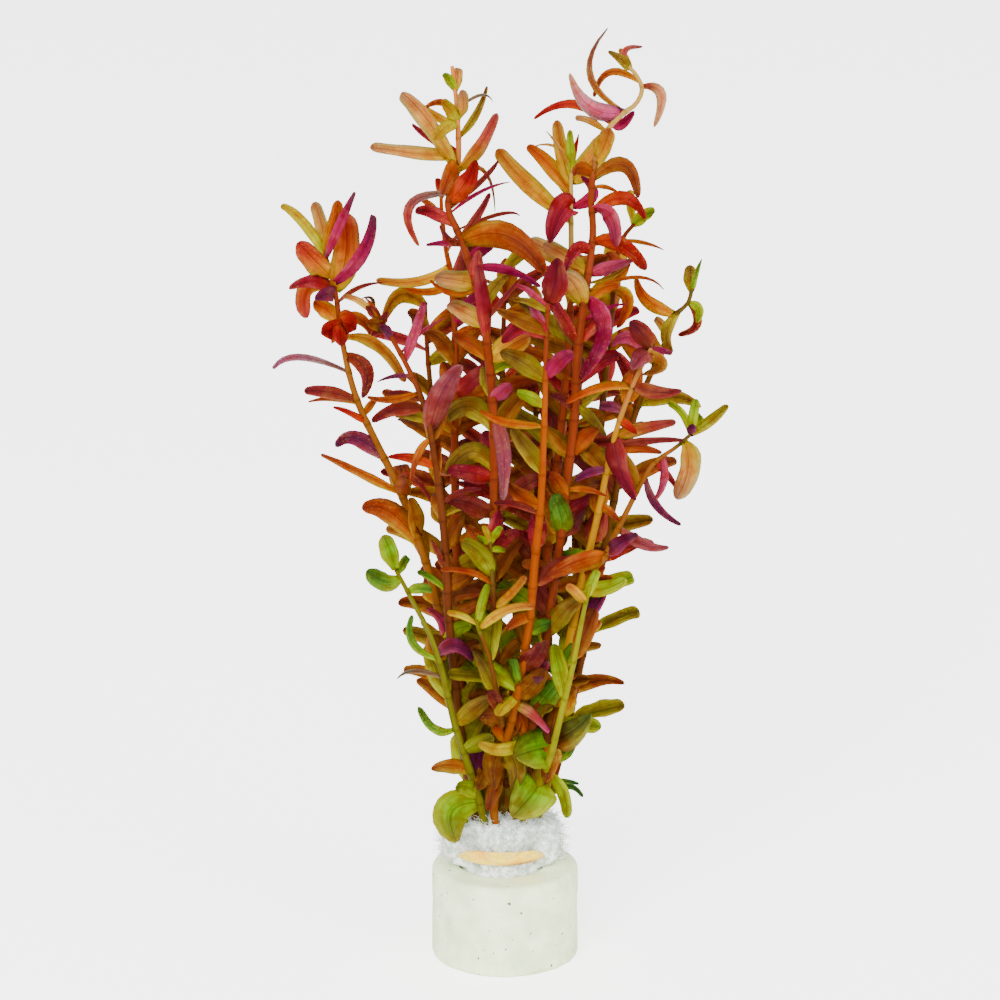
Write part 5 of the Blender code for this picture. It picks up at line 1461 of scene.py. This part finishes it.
# The bunch's dense part, and its solid part, where hardly any white is seen between the leaves:
# places down the frame, and how far left and right the part reaches there
DENSE_PART = (
    (230, 250, 300, 350, 400, 450, 500, 550, 600, 650, 700, 750, 800),
    (448, 430, 400, 400, 395, 400, 400, 412, 418, 425, 446, 458, 464),
    (636, 640, 650, 655, 640, 640, 630, 615, 604, 588, 584, 580, 566),
)
SOLID_PART = (
    (262, 300, 350, 400, 450, 500, 550, 600, 650, 700, 750, 800),
    (470, 440, 428, 424, 424, 428, 430, 428, 436, 452, 462, 470),
    (606, 616, 612, 604, 600, 600, 596, 592, 580, 576, 566, 556),
)
PART_FRONT = -15.0
PART_BACK = 33.0
# White gaps that stay open: place across and down the frame, half width and half height
GAPS = [
    (402, 440, 15, 16), (635, 306, 20, 18), (509, 200, 15, 14), (379, 297, 14, 14),
    (381, 379, 20, 14), (419, 354, 10, 18), (519, 229, 11, 9), (493, 257, 12, 7),
    (428, 533, 5, 19), (674, 431, 12, 8), (503, 330, 12, 8), (459, 558, 8, 12),
    (427, 233, 9, 9), (615, 497, 8, 8), (593, 378, 8, 10), (431, 203, 9, 8), (407, 561, 7, 12),
    (486, 212, 8, 9), (589, 434, 7, 5), (518, 267, 10, 6), (457, 255, 5, 8), (606, 535, 5, 8),
    (624, 370, 8, 5), (620, 352, 8, 4), (422, 639, 4, 10), (452, 487, 8, 4), (436, 311, 7, 6),
]
GAP_MARGIN = 3


def is_inside(point, part):
    """Whether a point is seen inside a part of the bunch, and in none of its gaps."""
    across, down = places_of(point[None, :])[0]
    downs, lefts, rights = part
    if not downs[0] < down < downs[-1] or not PART_FRONT < point[1] < PART_BACK:
        return False
    for x, y, wide, high in GAPS:
        if ((across - x) / (wide + GAP_MARGIN))**2 + ((down - y) / (high + GAP_MARGIN))**2 < 1:
            return False
    return np.interp(down, downs, lefts) < across < np.interp(down, downs, rights)


LOWEST_PAIR = 41.0
PAIR_START = 4
BARE_TIP = 4
PAIR_STEP = 9.0
PAIR_STEP_SPREAD = (0.85, 1.15)
# Each pair stands across the last, give or take these degrees, and swings as it seeks room
PAIR_TURN = 90
PAIR_TURN_SPREAD = (-20, 20)
PAIR_SWING = (-0.5, 0.5)
PAIR_RISE = (30, 70)
PAIR_LENGTH = (11, 18)
PAIR_WIDTH = (3.6, 6.2)
PAIR_DROOP = 0.12
LEAF_TRIES = 7
SHORTENING = 0.05


def grow_pairs(name):
    """Grows pairs of leaves in the bunch's dense part, a step apart, where there is room."""
    route = routes[name]
    lowest = float(route.reach[np.argmax(route.points[:, 2] > LOWEST_PAIR)])
    distance = lowest + luck.uniform(0, PAIR_START)
    turn = luck.uniform(0, math.tau)
    while distance < route.reach[-1] - BARE_TIP:
        distance += PAIR_STEP * luck.uniform(*PAIR_STEP_SPREAD)
        turn += math.radians(PAIR_TURN + luck.uniform(*PAIR_TURN_SPREAD))
        index = min(int(np.searchsorted(route.reach, distance)), len(route.reach) - 1)
        base, way, side = route.points[index], route.ways[index], route.sides[index]
        other = np.cross(way, side)
        for half in (0.0, math.pi):
            for attempt in range(LEAF_TRIES):
                angle = turn + half + luck.uniform(*PAIR_SWING) * attempt
                rise = math.radians(luck.uniform(*PAIR_RISE))
                out = side * math.cos(angle) + other * math.sin(angle)
                length = luck.uniform(*PAIR_LENGTH) * (1 - SHORTENING * attempt)
                tip = base + (out * math.sin(rise) + way * math.cos(rise)) * length
                tip = tip - np.array((0, 0, PAIR_DROOP * length))
                if not is_inside(tip, DENSE_PART) or not is_inside((base + tip) / 2, DENSE_PART):
                    continue
                points, form = free_leaf(name, index, tip, luck.uniform(*PAIR_WIDTH))
                if has_room(points):
                    keep_leaf(name, points, form, route.reach[index])
                    break


BACK_STEMS = ["stem_back_left", "stem_back_mid_left", "stem_back_mid_right", "stem_back_centre",
              "stem_back_right", "stem_thin_left", "stem_peach", "stem_green_right"]
BACK_SHADES = ["umber", "brown", "umber", "rust", "olive", "brown", "rust", "maroon"]
FILL_ACROSS = (400, 660)
FILL_DEPTH = 10.0
FILL_TRIES = 34
# A filling leaf starts this far below its place and at most so far beside it, and ends past it
FILL_BELOW = (12, 62)
FILL_REACH = 60
FILL_PAST = (1.2, 1.8)
FILL_LEAN = (-8, 6)
FILL_LENGTHS = (9.0, 25.0)
FILL_WIDTHS = (5.6, 9.0)
FILL_SLIMMING = 0.5


def grow_over(target):
    """Grows a broad leaf of a back stem over a place of the frame, if one has room."""
    for attempt in range(FILL_TRIES):
        slimming = 1 - FILL_SLIMMING * attempt / FILL_TRIES
        name = luck.choice(BACK_STEMS)
        places = route_places[name]
        index = int(np.argmin(np.abs(places[:, 1] - (target[1] + luck.uniform(*FILL_BELOW)))))
        base, spot = routes[name].points[index], places[index]
        if abs(spot[0] - target[0]) > FILL_REACH or base[2] < LOWEST_PAIR:
            continue
        ahead = spot + (target - spot) * luck.uniform(*FILL_PAST)
        tip = np.array(seen_at(*ahead, base[1] + luck.uniform(*FILL_LEAN)))
        shortest, longest = FILL_LENGTHS
        if not shortest < np.linalg.norm(tip - base) < longest or not is_inside(tip, DENSE_PART):
            continue
        width = luck.uniform(*FILL_WIDTHS) * slimming
        points, form = free_leaf(name, index, tip, width, luck.choice(BACK_SHADES))
        if has_room(points):
            keep_leaf(name, points, form, routes[name].reach[index])
            return


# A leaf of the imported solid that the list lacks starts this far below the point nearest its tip
SOLID_LEAF_DROP = 7
SOLID_LEAF_WIDTH = (3.8, 5.4)
SAME_TIP = 0.5

for name in STEMS:
    corners = read_points(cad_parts[name].data)
    tips = [grow_listed(name, corners, Leaf(*row)) for row in LEAVES.get(name, [])]
    for tip, index in solid_tips(routes[name], corners):
        if not any(np.linalg.norm(tip - other) < SAME_TIP for other in tips):
            index = max(0, index - SOLID_LEAF_DROP)
            points, form = free_leaf(name, index, tip, luck.uniform(*SOLID_LEAF_WIDTH))
            keep_leaf(name, points, form, routes[name].reach[index])
for name in STEMS:
    grow_pairs(name)
downs = SOLID_PART[0]
targets = [(x, y) for x in range(*FILL_ACROSS, CELL) for y in range(downs[0], downs[-1], CELL)]
luck.shuffle(targets)
for x, y in targets:
    place = np.array((x + CELL / 2, y + CELL / 2))
    is_open = not covered[y // CELL, x // CELL]
    if is_open and is_inside(np.array(seen_at(*place, FILL_DEPTH)), SOLID_PART):
        grow_over(place)


def fuse_leaves(name, leaves, material):
    """One mesh of all of a stem's leaves."""
    size = len(BLADE_ALONG)
    points = np.concatenate([leaf for leaf, _ in leaves])
    faces = [tuple(corner + index * size for corner in face)
             for index in range(len(leaves)) for face in BLADE_POLYGONS]
    made = add_mesh(name, [Vector(point) for point in points], faces)
    tint = np.concatenate([leaf_tints(form, luck) for _, form in leaves])
    chance = np.concatenate([np.full(size, form.luck) for _, form in leaves])
    places = np.column_stack((BLADE_ACROSS / 2 + 0.5, BLADE_ALONG))
    paint(made.data, tint, chance, np.tile(places, (len(leaves), 1)))
    made.data.materials.append(material)
    return made


def merge_joints(distances):
    """The joints of a stem, where leaves that start close together share one."""
    merged = []
    for distance in sorted(distances):
        if not merged or distance - merged[-1] > JOINT_MERGE:
            merged.append(distance)
    return merged


def dyed(tree, colour, dye):
    """A colour as a dye changes it: each part is multiplied by the dye's."""
    return add_node(tree, "ShaderNodeMix", {0: 1.0, 6: colour, 7: opaque(dye)},
                    data_type="RGBA", blend_type="MULTIPLY").outputs[2]


LEAF_LIGHT = (0.62, 0.36, 0.02)
LEAF_LIGHT_SHARE = 0.025
DARK_DYE = (0.36, 0.22, 0.28)
BROWN_DYE = (0.8, 0.4, 0.26)
PALE_DYE = (1.4, 1.5, 1.4)
ROD_DYE = (0.5, 0.4, 0.4)
LEAF_GLOW_DEPTHS = (1.0, 0.8, 0.5)
BROWNED_PATCHES = (330, 0.45, 0.62)
PALE_PATCHES = (240, 0.5, 0.72)
LEAF_SPECKS = (1600, 0.57, 0.68)
LEAF_STREAKS = (1.0, 0.4, 0.7, 3.0)
ROD_STREAKS = (1.0, 0.35, 0.65, 3.0)
ROD_PATCHES = (350, 0.5, 0.7)
# How the streaks' axes are scaled, so that they run along a leaf or a stem
ALONG_LEAF = (9.0, 1.1, 1.0)
ALONG_ROD = (9.0, 4.0, 1.0)
# Only the luckiest leaves are speckled
SPECKLED_LUCK = (0.6, 0.95)
# Distances from the midrib, as shares of the width, where its line and the margin's start and are dark
RIB_LINE = (0.04, 0.01)
MARGIN_LINE = (0.42, 0.5)
TIP_DARK = (0.93, 1.0)


def make_leaf_material():
    """Soft leaf: tinted, mottled and streaked along, with a thin dark midrib and margins."""
    material, tree, shader, spots = new_material(
        "water_leaf", roughness=0.5, Specular_IOR_Level=0.02, Subsurface_Weight=0.5,
        Subsurface_Scale=0.0008, Subsurface_Radius=LEAF_GLOW_DEPTHS,
    )
    tint = add_node(tree, "ShaderNodeAttribute", attribute_name="tint").outputs
    place = add_node(tree, "ShaderNodeUVMap", uv_map="UVMap").outputs["UV"]
    parts = add_node(tree, "ShaderNodeSeparateXYZ", {"Vector": place}).outputs
    from_rib = add_node(tree, "ShaderNodeMath", {0: parts["X"], 1: 0.5}, operation="SUBTRACT").outputs[0]
    from_rib = add_node(tree, "ShaderNodeMath", {0: from_rib}, operation="ABSOLUTE").outputs[0]
    colour = tint["Color"]
    dark = dyed(tree, colour, DARK_DYE)
    browned = dyed(tree, colour, BROWN_DYE)
    pale = dyed(tree, between(tree, LEAF_LIGHT_SHARE, colour, opaque(LEAF_LIGHT)), PALE_DYE)
    colour = laid_over(tree, colour, patches(tree, spots, *BROWNED_PATCHES), browned, share=0.7)
    colour = laid_over(tree, colour, patches(tree, spots, *PALE_PATCHES), pale, share=0.8)
    is_speckled = level(tree, tint["Alpha"], *SPECKLED_LUCK)
    specks = scaled(tree, is_speckled, patches(tree, spots, *LEAF_SPECKS))
    colour = laid_over(tree, colour, specks, opaque(LEAF_LIGHT), share=0.14)
    streaks = patches(tree, stretched(tree, place, *ALONG_LEAF), *LEAF_STREAKS)
    colour = laid_over(tree, colour, streaks, dark, share=0.55)
    colour = laid_over(tree, colour, level(tree, from_rib, *RIB_LINE), dark, share=0.8)
    colour = laid_over(tree, colour, level(tree, from_rib, *MARGIN_LINE), dark, share=0.65)
    colour = laid_over(tree, colour, level(tree, parts["Y"], *TIP_DARK), dark, share=0.6)
    tree.links.new(colour, shader.inputs["Base Color"])
    raise_surface(tree, shader, streaks, strength=0.3, distance=0.12)
    return material


def make_rod_material():
    """A stem's skin: tinted, smooth, with lengthwise streaks."""
    material, tree, shader, spots = new_material("stem_skin", roughness=0.36, Specular_IOR_Level=0.02)
    tint = add_node(tree, "ShaderNodeAttribute", attribute_name="tint").outputs["Color"]
    place = add_node(tree, "ShaderNodeUVMap", uv_map="UVMap").outputs["UV"]
    streaks = patches(tree, stretched(tree, place, *ALONG_ROD), *ROD_STREAKS)
    dark = dyed(tree, tint, ROD_DYE)
    colour = laid_over(tree, tint, streaks, dark, share=0.45)
    colour = laid_over(tree, colour, patches(tree, spots, *ROD_PATCHES), dark, share=0.4)
    tree.links.new(colour, shader.inputs["Base Color"])
    raise_surface(tree, shader, streaks, strength=0.3, distance=0.1)
    return material


leaf_material = make_leaf_material()
rod_material = make_rod_material()
for name, stem in STEMS.items():
    rod = grow_stem(name, stem, routes[name], merge_joints(joints[name]))
    rod.data.materials.clear()
    rod.data.materials.append(rod_material)
    join(fuse_leaves(name + "_leaves", grown[name], leaf_material), rod)
    finish_piece(rod, name.replace("stem_", "") + "_plant", name)

# The studio
# A pale floor and soft light from all round, as in a shop's picture. The floor and the air behind
# it look brighter to the camera than what they throw on the plant, so the pale ring stands out.
CAMERA_GLOW = 2.4
WORLD_LIGHT = 1.6
WHITE = (1.0, 1.0, 1.0)
FLOOR_SIZE = 8.0
PAPER_LIGHT = (0.96, 0.96, 0.96)
PAPER_SHADE = (0.95, 0.95, 0.95)
PAPER_CLOUDS = (2, 0.3, 0.7)
LIGHT_AIM = Vector((0, 0, 0.1))

bpy.ops.mesh.primitive_plane_add(size=FLOOR_SIZE, location=(0, 0, 0))
floor = bpy.context.object
floor.name = "studio_floor"
floor_material, tree, shader, spots = new_material("floor_paper", roughness=0.9)
paper = between(tree, patches(tree, spots, *PAPER_CLOUDS), opaque(PAPER_SHADE), opaque(PAPER_LIGHT))
tree.links.new(paper, shader.inputs["Base Color"])
seen = add_node(tree, "ShaderNodeLightPath").outputs["Is Camera Ray"]
shader.inputs["Emission Color"].default_value = opaque(WHITE)
tree.links.new(scaled(tree, seen, CAMERA_GLOW), shader.inputs["Emission Strength"])
floor.data.materials.append(floor_material)


def soft_light(place, size, power):
    """A square soft light that looks at the bunch, in metres and watts."""
    bpy.ops.object.light_add(type="AREA", location=place)
    light = bpy.context.object
    light.data.size = size
    light.data.energy = power
    light.rotation_euler = (LIGHT_AIM - Vector(place)).to_track_quat("-Z", "Y").to_euler()


soft_light((-0.45, -1.5, 1.0), size=0.9, power=62)
soft_light((1.0, -0.9, 0.5), size=0.8, power=14)
world = bpy.context.scene.world or bpy.data.worlds.new("studio")
bpy.context.scene.world = world
world.use_nodes = True
tree = world.node_tree
sky = tree.nodes["Background"]
sky.inputs["Color"].default_value = opaque(WHITE)
seen = add_node(tree, "ShaderNodeLightPath").outputs["Is Camera Ray"]
strength = add_node(
    tree, "ShaderNodeMath", {0: seen, 1: CAMERA_GLOW, 2: WORLD_LIGHT}, operation="MULTIPLY_ADD",
)
tree.links.new(strength.outputs["Value"], sky.inputs["Strength"])
